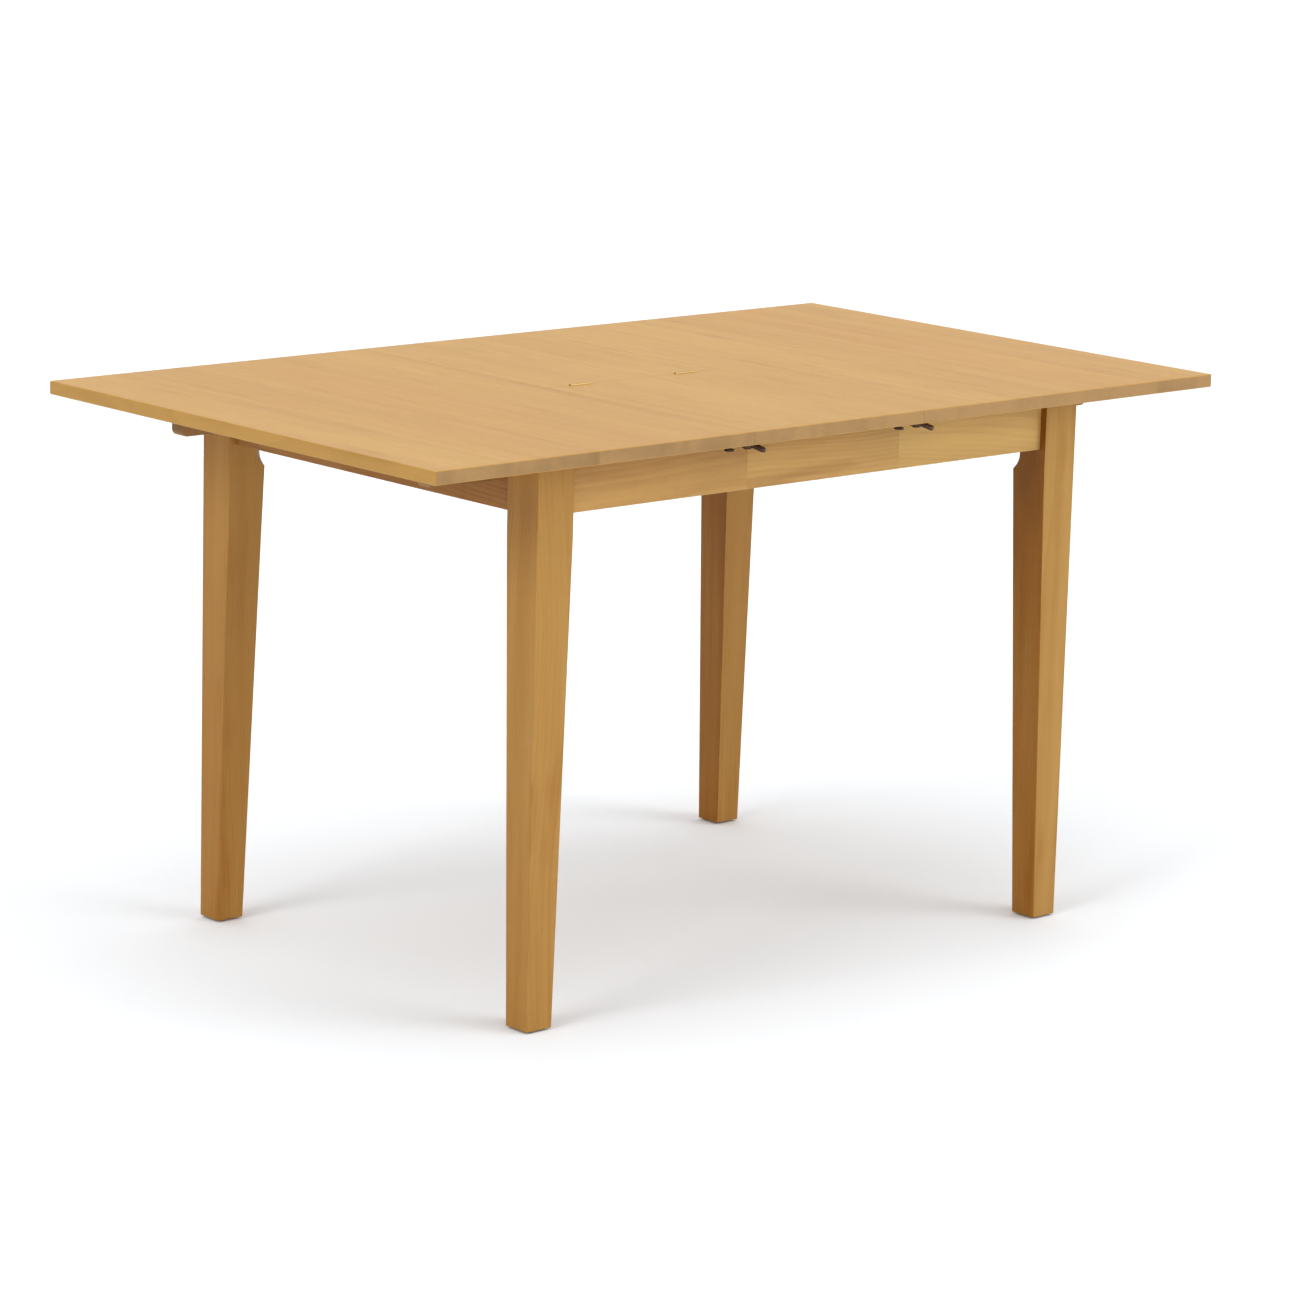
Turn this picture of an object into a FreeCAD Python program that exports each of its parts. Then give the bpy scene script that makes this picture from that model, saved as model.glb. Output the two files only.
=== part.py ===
"""Butterfly leaf table: two sliding top halves over a fixed frame, with a folding leaf between them.

X runs along the table, Y across it and Z up. The origin is on the floor under the middle of the top.
Lengths are in millimetres. "Front" is -Y, "back" is +Y, "left" is -X and "right" is +X.
"""
import FreeCAD, Part
import math
import os
import re

import Sketcher
from FreeCAD import Placement, Rotation, Vector

doc = FreeCAD.newDocument("butterfly_leaf_table")

# ---------------------------------------------------------------- sizes

SIZES = {
    # top
    "top_length": (1400, "length of the top with the leaf in"),
    "top_width": (815, "width of the top"),
    "table_height": (762, "floor to the top surface"),
    "top_thick": (18, "thickness of the top boards"),
    "leaf_width": (305, "width of the leaf along the table"),
    "leaf_offset": (-20, "middle of the leaf from the middle of the frame"),
    "seam_gap": (0.5, "gap between neighbouring boards"),
    "corner_round": (3, "radius of the top's plan corners"),
    "arris_round": (2, "radius along the upper outer edges"),
    "under_chamfer": (1, "chamfer along the lower outer edges"),
    # frame
    "end_overhang": (213, "end of the top to the leg's outer face"),
    "side_overhang": (56.5, "side of the top to the leg's outer face"),
    "leg_head": (60, "side of the leg's square head"),
    "leg_foot": (42, "side of the leg at the floor"),
    "leg_flat": (13, "45 degree flat on the leg's inner corner, along each face"),
    "leg_flat_runout": (19, "height over which that flat runs out"),
    "leg_flat_below": (15, "how far the flat goes below the apron"),
    "taper_below": (30, "start of the taper below the apron"),
    "leg_arris": (1.5, "radius on the leg's long corners"),
    "foot_chamfer": (1, "chamfer round the leg's foot"),
    "apron_arris": (1.5, "radius along the aprons' lower edges"),
    "apron_depth": (72, "depth of the aprons"),
    "apron_thick": (20, "thickness of the aprons"),
    "apron_setback": (10, "apron face behind the leg's outer face"),
    "pad_thick": (1, "felt slide pad on the apron's top edge"),
    "pad_width": (12, "width of the slide pad"),
    "rail_thick": (20, "thickness of the cross rails"),
    "rail_drop": (2, "cross rail's top below the apron's top"),
    "rail_arris": (1, "chamfer along the rails' lower edges"),
    "rail_clear": (8, "leaf edge to the cross rail"),
    "glide_radius": (13, "foot glide radius"),
    "glide_height": (2.5, "foot glide height below the leg"),
    "nail_radius": (1.5, "foot glide nail radius"),
    "nail_length": (18, "foot glide nail length"),
    # slides
    "runner_inner": (225, "inner face of a runner from the middle of the table"),
    "runner_wide": (22, "runner width"),
    "runner_depth": (40, "runner depth below the boards"),
    "runner_long": (85, "end of the top to the end of a long runner"),
    "runner_short": (120, "end of the top to the end of a short runner"),
    "runner_back": (8, "runner's inner end behind the seam"),
    "runner_round": (9, "radius on the runner's lower end corner"),
    "tongue_deep": (7.5, "runner tongue"),
    "tongue_high": (9.4, "runner tongue height"),
    "tongue_low": (12.3, "tongue above the runner's bottom"),
    "slide_clear": (0.5, "clearance at the sides of a runner"),
    "tongue_clear": (0.3, "clearance above and below the tongue"),
    "guide_wide": (22.5, "guide rail width"),
    "slide_travel": (40, "how far each half slides out to free the leaf"),
    "peg_radius": (4, "stop peg radius"),
    "peg_drop": (14, "stop peg below the runner"),
    "peg_deep": (16, "stop peg inside the runner"),
    # leaf fold and pivot
    "hinge_rise": (0.25, "fold axis above the top surface"),
    "knuckle_radius": (2, "leaf hinge knuckle radius"),
    "knuckle_clear": (0.2, "clearance round and between the knuckles"),
    "hinge_pin": (1, "leaf hinge pin radius"),
    "hinge_length": (40, "leaf hinge length"),
    "hinge_deep": (14, "depth of a hinge plate in the leaf's edge"),
    "hinge_plate": (1.2, "thickness of a hinge plate"),
    "hinge_place": (95, "hinge from the middle of the leaf"),
    "pivot_back": (102, "leaf pivot in front of the fold line"),
    "pivot_drop": (14, "leaf pivot below the boards"),
    "stud_radius": (4, "pivot stud radius"),
    "run_clear": (0.05, "running clearance of pins in their holes"),
    "arm_thick": (2.5, "thickness of the pivot arms and plates"),
    "arm_nose": (10, "radius of the arm round the pivot"),
    "arm_length": (64, "length of the arm's flange"),
    "arm_width": (30, "width of the arm's flange"),
    "arm_inset": (1.5, "arm behind the leaf's edge"),
    "plate_wide": (44, "pivot plate width"),
    "plate_high": (34, "pivot plate height"),
    "plate_low": (23, "pivot plate below the pivot"),
    "rest_high": (9, "leaf rest height"),
    "rest_wide": (18, "leaf rest width"),
    "rest_near": (60, "near end of a leaf rest from the middle"),
    "rest_far": (160, "far end of a leaf rest from the middle"),
    "rest_chamfer": (2, "chamfer along a leaf rest's lower edge"),
    "plate_margin": (6, "plate screws from the plates' edges"),
    "plate_round": (4, "corner radius of the pivot plates and arms"),
    "shoulder_clear": (0.5, "end play of the leaf between the pivot studs' shoulders"),
    # locks
    "lock_inset": (25, "lock's middle line from the side of the top"),
    "lock_wide": (20, "width of the lock plates"),
    "lock_plate": (1.6, "thickness of the lock plates"),
    "lock_clear": (0.6, "lever clear of the plates"),
    "lever_thick": (4.5, "lever thickness"),
    "keeper_start": (2, "keeper plate from the seam"),
    "keeper_length": (50, "keeper plate length"),
    "keeper_stud": (21, "keeper stud from the seam"),
    "keeper_neck": (3.5, "radius of the keeper stud's neck"),
    "keeper_head": (6.5, "radius of the keeper stud's head"),
    "base_start": (2, "lever base from the seam"),
    "base_length": (76, "lever base length"),
    "lever_pivot": (11, "lever pivot from the seam"),
    "pivot_radius": (3, "lever pivot radius"),
    "pivot_head": (5.5, "lever pivot head radius"),
    "head_thick": (2.2, "thickness of the stud and pivot heads"),
    "hub_radius": (9.5, "lever hub radius"),
    "jaw_clear": (0.3, "jaw clear of the keeper's neck"),
    "jaw_wall": (4.2, "wall of the jaw outside the neck"),
    "jaw_lead": (15, "jaw opening, degrees ahead of the stud"),
    "jaw_heel": (14, "jaw heel, degrees behind the stud"),
    "lock_swing": (95, "how far the lever turns, degrees"),
    "handle_length": (25, "lever pivot to the end of its handle"),
    "handle_turn": (25, "handle turned from the jaw's middle line, degrees"),
    "handle_wide": (11, "handle width"),
    "handle_drop": (4.4, "how far the handle slopes down"),
    # fasteners
    "bracket_thick": (2, "corner bracket thickness"),
    "bracket_high": (28, "corner bracket height"),
    "bracket_low": (3, "corner bracket above the apron's lower edge"),
    "bracket_wing": (26, "corner bracket wing length"),
    "bolt_radius": (4, "hanger bolt radius"),
    "bolt_in": (36, "hanger bolt inside the leg"),
    "bolt_out": (18, "hanger bolt out of the leg's flat"),
    "bolt_clear": (0.3, "clearance round the hanger bolt"),
    "nut_across": (13, "hanger nut across its flats"),
    "nut_thick": (6.5, "hanger nut thickness"),
    "screw_head": (3.5, "small screw head radius"),
    "screw_head_thick": (1.9, "small screw head thickness"),
    "screw_shank": (1.6, "small screw shank radius"),
    "screw_length": (13, "small screw length under the head"),
    "screw_clear": (0.05, "clearance round a screw"),
    "runner_screw_head": (4, "runner screw head radius"),
    "runner_screw_head_thick": (3, "runner screw head thickness"),
    "runner_screw_shank": (2, "runner screw shank radius"),
    "runner_screw_length": (28, "runner screw length under the head"),
    "counterbore_radius": (5, "counterbore for a runner screw"),
    "counterbore_deep": (24, "depth of that counterbore"),
}

sheet = doc.addObject("Spreadsheet::Sheet", "sizes")
for row, (alias, (size, meaning)) in enumerate(SIZES.items(), start=1):
    sheet.set(f"A{row}", meaning)
    sheet.set(f"B{row}", str(size))
    sheet.setAlias(f"B{row}", alias)
doc.recompute()


def tied(text):
    """An expression in which each size's name reads its cell of the sheet."""
    return re.sub(r"[a-z_]+", lambda m: "sizes." + m[0] if m[0] in SIZES else m[0], str(text))


def number(text):
    """What an expression comes to."""
    return float(sheet.evalExpression(tied(text)))


def bind(item, **expressions):
    """Tie properties to the sheet; a double underscore in a name stands for a dot."""
    for name, text in expressions.items():
        item.setExpression(name.replace("__", "."), tied(text))


SIDES = (-1, 1)

# Places that many pieces share, worked out from the sizes.
UNDERSIDE = "(table_height - top_thick)"
APRON_TOP = f"({UNDERSIDE} - pad_thick)"
APRON_LOW = f"({APRON_TOP} - apron_depth)"
RAIL_TOP = f"({APRON_TOP} - rail_drop)"
LEG_X = "(top_length / 2 - end_overhang)"
LEG_Y = "(top_width / 2 - side_overhang)"
APRON_FACE_X = f"({LEG_X} - apron_setback)"
APRON_FACE_Y = f"({LEG_Y} - apron_setback)"
APRON_IN_X = f"({APRON_FACE_X} - apron_thick)"
APRON_IN_Y = f"({APRON_FACE_Y} - apron_thick)"
SEAM = {-1: "(leaf_offset - leaf_width / 2)", 1: "(leaf_offset + leaf_width / 2)"}
LEAF_EDGE = {side: f"({SEAM[side]} - {side} * seam_gap / 2)" for side in SIDES}
HALF_EDGE = {side: f"({SEAM[side]} + {side} * seam_gap / 2)" for side in SIDES}
RUNNER_LOW = f"({UNDERSIDE} - runner_depth)"
RUNNER_OUT = "(runner_inner + runner_wide)"
FOLD_Z = "(table_height + hinge_rise)"
PIVOT_Z = f"({UNDERSIDE} - pivot_drop)"
LOCK_Y = "(top_width / 2 - lock_inset)"
LEVER_TOP = "(lock_plate + lock_clear)"
LEVER_LOW = f"({LEVER_TOP} + lever_thick)"
HEAD_TOP = f"({LEVER_LOW} + lock_clear / 2)"


SIDE_NAME = {-1: "left", 1: "right"}
FACE_NAME = {-1: "front", 1: "back"}
# Where the screws and pegs go.
RAIL_FACE = {side: f"({SEAM[side]} + {side} * rail_clear)" for side in SIDES}
RUNNER_SCREWS = {side: [f"({side} * ({APRON_FACE_X} + 2 * runner_wide))",
                        f"({side} * ({APRON_IN_X} - 4 * runner_wide))",
                        f"({SEAM[side]} + {side} * 2 * runner_wide)"] for side in SIDES}
PEG_X = {side: f"({side} * ({APRON_IN_X} - slide_travel - peg_radius))" for side in SIDES}
PIVOT_SCREWS = [(f"-pivot_back + {across} * (plate_wide / 2 - plate_margin)", height)
                for across in SIDES for height in (f"{PIVOT_Z} - plate_low + plate_margin",
                                                   f"{PIVOT_Z} - plate_low + plate_high - plate_margin")]
ARM_SCREWS = {side: [(f"{LEAF_EDGE[side]} - {side} * (arm_inset + arm_width * {inward})",
                      f"-pivot_back + {along_arm} * (arm_length / 2 - plate_margin)")
                     for inward in (0.33, 0.78) for along_arm in SIDES] for side in SIDES}
KEEPER_SCREWS = ["(-keeper_start - keeper_length + plate_margin)",
                 "(-keeper_start - keeper_length + 3 * plate_margin)"]
BASE_SCREWS = ["(base_start + base_length - plate_margin)", "(base_start + base_length / 2 - plate_margin)"]


def lock_screws_at(seam_side, face, offsets):
    return [(f"{SEAM[seam_side]} + {offset}", f"{face} * {LOCK_Y}") for offset in offsets]


LOCK_SCREWS = {
    "top_left": [place for face in SIDES for place in lock_screws_at(-1, face, KEEPER_SCREWS)],
    "leaf_front": lock_screws_at(-1, -1, BASE_SCREWS) + lock_screws_at(1, -1, KEEPER_SCREWS),
    "leaf_back": lock_screws_at(-1, 1, BASE_SCREWS) + lock_screws_at(1, 1, KEEPER_SCREWS),
    "top_right": [place for face in SIDES for place in lock_screws_at(1, face, BASE_SCREWS)],
}
NODES = []


# ---------------------------------------------------------------- how bodies are drawn

def new_body(name, x="0", y="0", z="0", turn=0, grouped=False):
    """A body whose own origin sits at x, y, z, turned about Z by so many degrees. It is a node
    unless it is one of a group."""
    body = doc.addObject("PartDesign::Body", name)
    body.Label = name
    body.Placement = Placement(Vector(), Rotation(Vector(0, 0, 1), turn))
    bind(body, Placement__Base__x=x, Placement__Base__y=y, Placement__Base__z=z)
    if not grouped:
        NODES.append(body)
    return body


def sketch_on(body, plane="XY", lift="0", swing=0):
    """An empty sketch on one of the body's own planes, swung about its upright and lifted along
    its normal. Sketch X and Y are the body's X and Y, X and Z, or Y and Z; XZ faces the front."""
    sketch = body.newObject("Sketcher::SketchObject", body.Name + "_sketch")
    support = [item for item in body.Origin.OriginFeatures if item.Role == plane + "_Plane"][0]
    sketch.AttachmentSupport = [(support, "")]
    sketch.MapMode = "FlatFace"
    turned = Rotation(Vector(0, 1, 0), swing)
    normal = turned.multVec(Vector(0, 0, 1))
    sketch.AttachmentOffset = Placement(Vector(), turned)
    for letter in "xyz":
        step = round(getattr(normal, letter), 12)
        sketch.setExpression(f"AttachmentOffset.Base.{letter}", tied(f"{step} * ({lift})"))
    return sketch


def fix(sketch, kind, *where, size):
    """Add one dimension to a sketch and tie it to the sheet."""
    place = sketch.addConstraint(Sketcher.Constraint(kind, *where, number(size)))
    sketch.setExpression(f"Constraints[{place}]", tied(size))


def outline(sketch, corners, arcs=None):
    """A closed outline through corners given as pairs of expressions. Edges are straight, apart
    from those in arcs: {edge: (centre x, centre y, turn)}, where turn is 1 anticlockwise."""
    arcs = arcs or {}
    points = [Vector(number(x), number(y), 0) for x, y in corners]
    count = len(points)
    edges = []
    for i, start in enumerate(points):
        end = points[(i + 1) % count]
        if i in arcs:
            centre_x, centre_y, turn = arcs[i]
            centre = Vector(number(centre_x), number(centre_y), 0)
            spokes = [point - centre for point in ((start, end) if turn > 0 else (end, start))]
            low, high = (math.atan2(spoke.y, spoke.x) for spoke in spokes)
            circle = Part.Circle(centre, Vector(0, 0, 1), (start - centre).Length)
            edge = sketch.addGeometry(Part.ArcOfCircle(circle, low, high))
            # the ends fix all but the centre's place along the middle line of the chord
            chord = end - start
            if abs(chord.x) > abs(chord.y):
                fix(sketch, "DistanceY", -1, 1, edge, 3, size=centre_y)
            else:
                fix(sketch, "DistanceX", -1, 1, edge, 3, size=centre_x)
            edges.append((edge, 1, 2) if turn > 0 else (edge, 2, 1))
        else:
            edges.append((sketch.addGeometry(Part.LineSegment(start, end)), 1, 2))
    for i, (edge, start, end) in enumerate(edges):
        following, next_start, _ = edges[(i + 1) % count]
        sketch.addConstraint(Sketcher.Constraint("Coincident", edge, end, following, next_start))
        fix(sketch, "DistanceX", -1, 1, edge, start, size=corners[i][0])
        fix(sketch, "DistanceY", -1, 1, edge, start, size=corners[i][1])
    return sketch


def rectangle(sketch, x0, x1, y0, y1):
    return outline(sketch, [(x0, y0), (x1, y0), (x1, y1), (x0, y1)])


def circles(sketch, places, radius):
    """A circle of one radius at each place."""
    for x, y in places:
        ring = Part.Circle(Vector(number(x), number(y), 0), Vector(0, 0, 1), number(radius))
        edge = sketch.addGeometry(ring)
        fix(sketch, "DistanceX", -1, 1, edge, 3, size=x)
        fix(sketch, "DistanceY", -1, 1, edge, 3, size=y)
        fix(sketch, "Radius", edge, size=radius)
    return sketch


def pad(body, sketch, length, back=False, middle=False):
    """Sweep the sketch's area along its normal, back along it, or both ways, and add it."""
    feature = body.newObject("PartDesign::Pad", body.Name + "_pad")
    feature.Profile = sketch
    feature.Reversed = back
    feature.Midplane = middle
    bind(feature, Length=length)
    doc.recompute()
    return feature


def pocket(body, sketch, length, ahead=False, middle=False):
    """Cut the sketch's area back along its normal, ahead along it or both ways. It has to cut."""
    before = body.Shape.Volume
    feature = body.newObject("PartDesign::Pocket", body.Name + "_pocket")
    feature.Profile = sketch
    feature.Reversed = ahead
    feature.Midplane = middle
    bind(feature, Length=length)
    doc.recompute()
    if not body.Shape.Volume < before - 1e-3:
        raise RuntimeError(f"{body.Label}: a pocket cuts nothing")
    return feature


def dress(body, kind, size, test):
    """Fillet or chamfer each edge of the body whose bounding box passes the test."""
    base = body.Tip
    names = [f"Edge{i}" for i, edge in enumerate(base.Shape.Edges, start=1) if test(edge.BoundBox)]
    feature = body.newObject("PartDesign::" + kind, body.Name + "_" + kind.lower())
    feature.Base = (base, names)
    bind(feature, **{"Radius" if kind == "Fillet" else "Size": size})
    doc.recompute()
    return feature


def same(a, b):
    return abs(a - b) < 1e-3


def upright(box):
    return box.XLength < 1e-3 and box.YLength < 1e-3


def level(box, z):
    return box.ZLength < 1e-3 and same(box.ZMin, z)


# ---------------------------------------------------------------- rods, screws and groups

def primitive(kind, name, place, axis, **sizes):
    """A Part primitive with its own Z turned along the axis and its origin at the place."""
    item = doc.addObject("Part::" + kind, name)
    item.Placement = Placement(Vector(), Rotation(Vector(0, 0, 1), Vector(*axis)))
    for letter, text in zip("xyz", place):
        item.setExpression("Placement.Base." + letter, tied(text))
    bind(item, **sizes)
    return item


def fused(name, base, tool):
    joined = doc.addObject("Part::Fuse", name)
    joined.Base = base
    joined.Tool = tool
    return joined


def along(place, axis, distance):
    """The place moved by a distance along the axis."""
    return tuple(f"{text} + {step} * ({distance})" for text, step in zip(place, axis))


def group(name, solids):
    """Like solids in one node, each a solid of its own."""
    node = doc.addObject("Part::Compound", name)
    node.Label = name
    node.Links = solids
    NODES.append(node)
    return node


def screws(name, places, axis, size=""):
    """Pan-head screws. A place is under the head, and the axis is the way the screw goes in."""
    made = []
    for i, place in enumerate(places):
        head = primitive("Cylinder", f"{name}_head_{i}", along(place, axis, f"-{size}screw_head_thick"), axis,
                         Radius=f"{size}screw_head", Height=f"{size}screw_head_thick")
        shank = primitive("Cylinder", f"{name}_shank_{i}", place, axis,
                          Radius=f"{size}screw_shank", Height=f"{size}screw_length")
        made.append(fused(f"{name}_screw_{i}", head, shank))
    return made


# ---------------------------------------------------------------- frame

CORNERS = {(-1, -1): 0, (1, -1): 90, (1, 1): 180, (-1, 1): 270}
DIAGONAL = math.sqrt(0.5)
FLAT_AT = "((2 * leg_head - leg_flat) / sqrt(2))"
FLAT_DEPTH = "(leg_flat / sqrt(2))"
RUNOUT_RADIUS = f"((leg_flat_runout ^ 2 + {FLAT_DEPTH} ^ 2) / (2 * {FLAT_DEPTH}))"
APRON_IN = "(apron_setback + apron_thick)"
WING_MIDDLE = f"(2 * leg_head - leg_flat - {APRON_IN} + bracket_wing / 2)"
BRACKET_MIDDLE = f"({APRON_LOW} + bracket_low + bracket_high / 2)"


def corner_body(name, side, face, grouped=False):
    """A body whose origin is on a leg's outer corner, with +X and +Y running inwards along the
    aprons, so that one drawing serves all four corners."""
    return new_body(f"{name}_{FACE_NAME[face]}_{SIDE_NAME[side]}", f"{side} * {LEG_X}", f"{face} * {LEG_Y}",
                    turn=CORNERS[side, face], grouped=grouped)


def leg(side, face):
    """A square leg, tapered below the apron on its two inner faces."""
    body = corner_body("leg", side, face)
    knee = f"({APRON_LOW} - taper_below)"
    rectangle_head = rectangle(sketch_on(body, lift=knee), "0", "leg_head", "0", "leg_head")
    pad(body, rectangle_head, f"{APRON_TOP} - {knee}")
    foot = rectangle(sketch_on(body, lift="glide_height"), "0", "leg_foot", "0", "leg_foot")
    shoulder = rectangle(sketch_on(body, lift=knee), "0", "leg_head", "0", "leg_head")
    taper = body.newObject("PartDesign::AdditiveLoft", body.Name + "_taper")
    taper.Profile = foot
    taper.Sections = [shoulder]
    doc.recompute()
    dress(body, "Fillet", "leg_arris", lambda box: box.ZLength > 10)
    dress(body, "Chamfer", "foot_chamfer", lambda box: level(box, number("glide_height")))
    # flat across the inner corner, with a rounded run-out at its lower end
    flat_low = f"({APRON_LOW} - leg_flat_below)"
    beyond = f"{FLAT_AT} + leg_head"
    flat = rectangle(sketch_on(body, "XZ", swing=45), FLAT_AT, beyond, flat_low, f"{APRON_TOP} + leg_head")
    pocket(body, flat, "2 * leg_head", middle=True)
    runout_middle = (f"{FLAT_AT} + {RUNOUT_RADIUS}", flat_low)
    runout = circles(sketch_on(body, "XZ", swing=45), [runout_middle], RUNOUT_RADIUS)
    pocket(body, runout, "2 * leg_head", middle=True)
    bolt = circles(sketch_on(body, "XZ", f"-{FLAT_AT}", swing=-45), [("0", BRACKET_MIDDLE)],
                   "bolt_radius + run_clear")
    pocket(body, bolt, "bolt_in", ahead=True)
    nail = circles(sketch_on(body, lift="glide_height"), [("leg_foot / 2", "leg_foot / 2")],
                   "nail_radius + run_clear")
    pocket(body, nail, "nail_length", ahead=True)


def corner_bracket(side, face):
    """Bent steel bracket that draws a leg's flat into its corner of the aprons."""
    body = corner_body("corner_bracket", side, face, grouped=True)
    across = "(2 * leg_head - leg_flat)"
    inner = f"({across} + sqrt(2) * bracket_thick)"
    wall = f"({APRON_IN} + bracket_thick)"
    tip = f"({across} - {APRON_IN} + bracket_wing)"
    strip = outline(sketch_on(body, lift=f"{APRON_LOW} + bracket_low"), [
        (APRON_IN, tip), (APRON_IN, f"{across} - {APRON_IN}"), (f"{across} - {APRON_IN}", APRON_IN),
        (tip, APRON_IN), (tip, wall), (f"{inner} - {wall}", wall), (wall, f"{inner} - {wall}"), (wall, tip)])
    pad(body, strip, "bracket_high")
    bolt = circles(sketch_on(body, "XZ", swing=-45), [("0", BRACKET_MIDDLE)], "bolt_radius + bolt_clear")
    pocket(body, bolt, "4 * leg_head", middle=True)
    hole = "screw_shank + screw_clear"
    places = [(WING_MIDDLE, BRACKET_MIDDLE)]
    pocket(body, circles(sketch_on(body, "XZ"), places, hole), "leg_head")
    pocket(body, circles(sketch_on(body, "YZ"), places, hole), "leg_head", ahead=True)
    return body


def long_apron(face):
    body = new_body(f"apron_{FACE_NAME[face]}")
    board = rectangle(sketch_on(body, lift=APRON_LOW), f"-({LEG_X} - leg_head)", f"{LEG_X} - leg_head",
                      f"{face} * {APRON_IN_Y}", f"{face} * {APRON_FACE_Y}")
    pad(body, board, "apron_depth")
    dress(body, "Fillet", "apron_arris", lambda box: level(box, number(APRON_LOW)) and box.XLength > 100)
    pilot = circles(sketch_on(body, "XZ", lift=f"-({face} * {APRON_IN_Y})"),
                    [(f"{side} * ({LEG_X} - {WING_MIDDLE})", BRACKET_MIDDLE) for side in SIDES],
                    "screw_shank + screw_clear")
    pocket(body, pilot, "screw_length - bracket_thick", ahead=face < 0)


def end_apron(side):
    """An end apron, notched from above where the runners pass through it."""
    body = new_body(f"apron_{SIDE_NAME[side]}")
    board = rectangle(sketch_on(body, lift=APRON_LOW), f"{side} * {APRON_IN_X}", f"{side} * {APRON_FACE_X}",
                      f"-({LEG_Y} - leg_head)", f"{LEG_Y} - leg_head")
    pad(body, board, "apron_depth")
    dress(body, "Fillet", "apron_arris", lambda box: level(box, number(APRON_LOW)) and box.YLength > 100)
    for face in SIDES:
        notch = rectangle(sketch_on(body, "YZ"), f"{face} * (runner_inner - slide_clear)",
                          f"{face} * ({RUNNER_OUT} + slide_clear)", RUNNER_LOW, "table_height")
        pocket(body, notch, "2 * top_length", middle=True)
    pilot = circles(sketch_on(body, "YZ", lift=f"{side} * {APRON_IN_X}"),
                    [(f"{face} * ({LEG_Y} - {WING_MIDDLE})", BRACKET_MIDDLE) for face in SIDES],
                    "screw_shank + screw_clear")
    pocket(body, pilot, "screw_length - bracket_thick", ahead=side > 0)


def cross_rail(side):
    """A rail across the frame beside the leaf. It carries the guide rails, the leaf's pivot and
    the rest that the folded leaf lies on."""
    body = new_body(f"cross_rail_{SIDE_NAME[side]}")
    outer_face = f"{RAIL_FACE[side]} + {side} * rail_thick"
    board = rectangle(sketch_on(body, lift=APRON_LOW), RAIL_FACE[side], outer_face, f"-{APRON_IN_Y}",
                      APRON_IN_Y)
    pad(body, board, f"{RAIL_TOP} - {APRON_LOW}")
    dress(body, "Chamfer", "rail_arris", lambda box: level(box, number(APRON_LOW)) and box.YLength > 100)
    for face in SIDES:
        notch = rectangle(sketch_on(body, "YZ"), f"{face} * (runner_inner - slide_clear)",
                          f"{face} * ({RUNNER_OUT} + slide_clear + guide_wide)", RUNNER_LOW, "table_height")
        pocket(body, notch, "2 * top_length", middle=True)
    pilot = circles(sketch_on(body, "YZ", lift=RAIL_FACE[side]), PIVOT_SCREWS, "screw_shank + screw_clear")
    pocket(body, pilot, "screw_length - arm_thick", ahead=side > 0)


def guide_rail(face):
    """A grooved rail between the end aprons. The runners' tongues slide in its groove."""
    body = new_body(f"guide_rail_{FACE_NAME[face]}")
    near_side = f"({face} * ({RUNNER_OUT} + slide_clear))"
    far_side = f"({face} * ({RUNNER_OUT} + slide_clear + guide_wide))"
    groove = f"({near_side} + {face} * (tongue_deep + slide_clear))"
    groove_low = f"({RUNNER_LOW} + tongue_low - tongue_clear)"
    groove_high = f"({groove_low} + tongue_high + 2 * tongue_clear)"
    section = outline(sketch_on(body, "YZ"), [
        (near_side, RUNNER_LOW), (far_side, RUNNER_LOW), (far_side, RAIL_TOP), (near_side, RAIL_TOP),
        (near_side, groove_high), (groove, groove_high), (groove, groove_low), (near_side, groove_low)])
    pad(body, section, f"2 * {APRON_IN_X}", middle=True)
    dress(body, "Chamfer", "rail_arris", lambda box: level(box, number(RUNNER_LOW)) and box.XLength > 100)


def leaf_rest(side):
    """A ledge on a cross rail for the folded leaf."""
    body = new_body(f"leaf_rest_{SIDE_NAME[side]}")
    edge = f"{RAIL_FACE[side]} - {side} * rest_wide"
    strip = rectangle(sketch_on(body, lift=APRON_LOW), RAIL_FACE[side], edge, "rest_near", "rest_far")
    pad(body, strip, "rest_high")
    inner = number(edge)
    dress(body, "Chamfer", "rest_chamfer", lambda box: level(box, number(APRON_LOW)) and same(box.XMin, inner)
          and same(box.XMax, inner))


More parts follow.
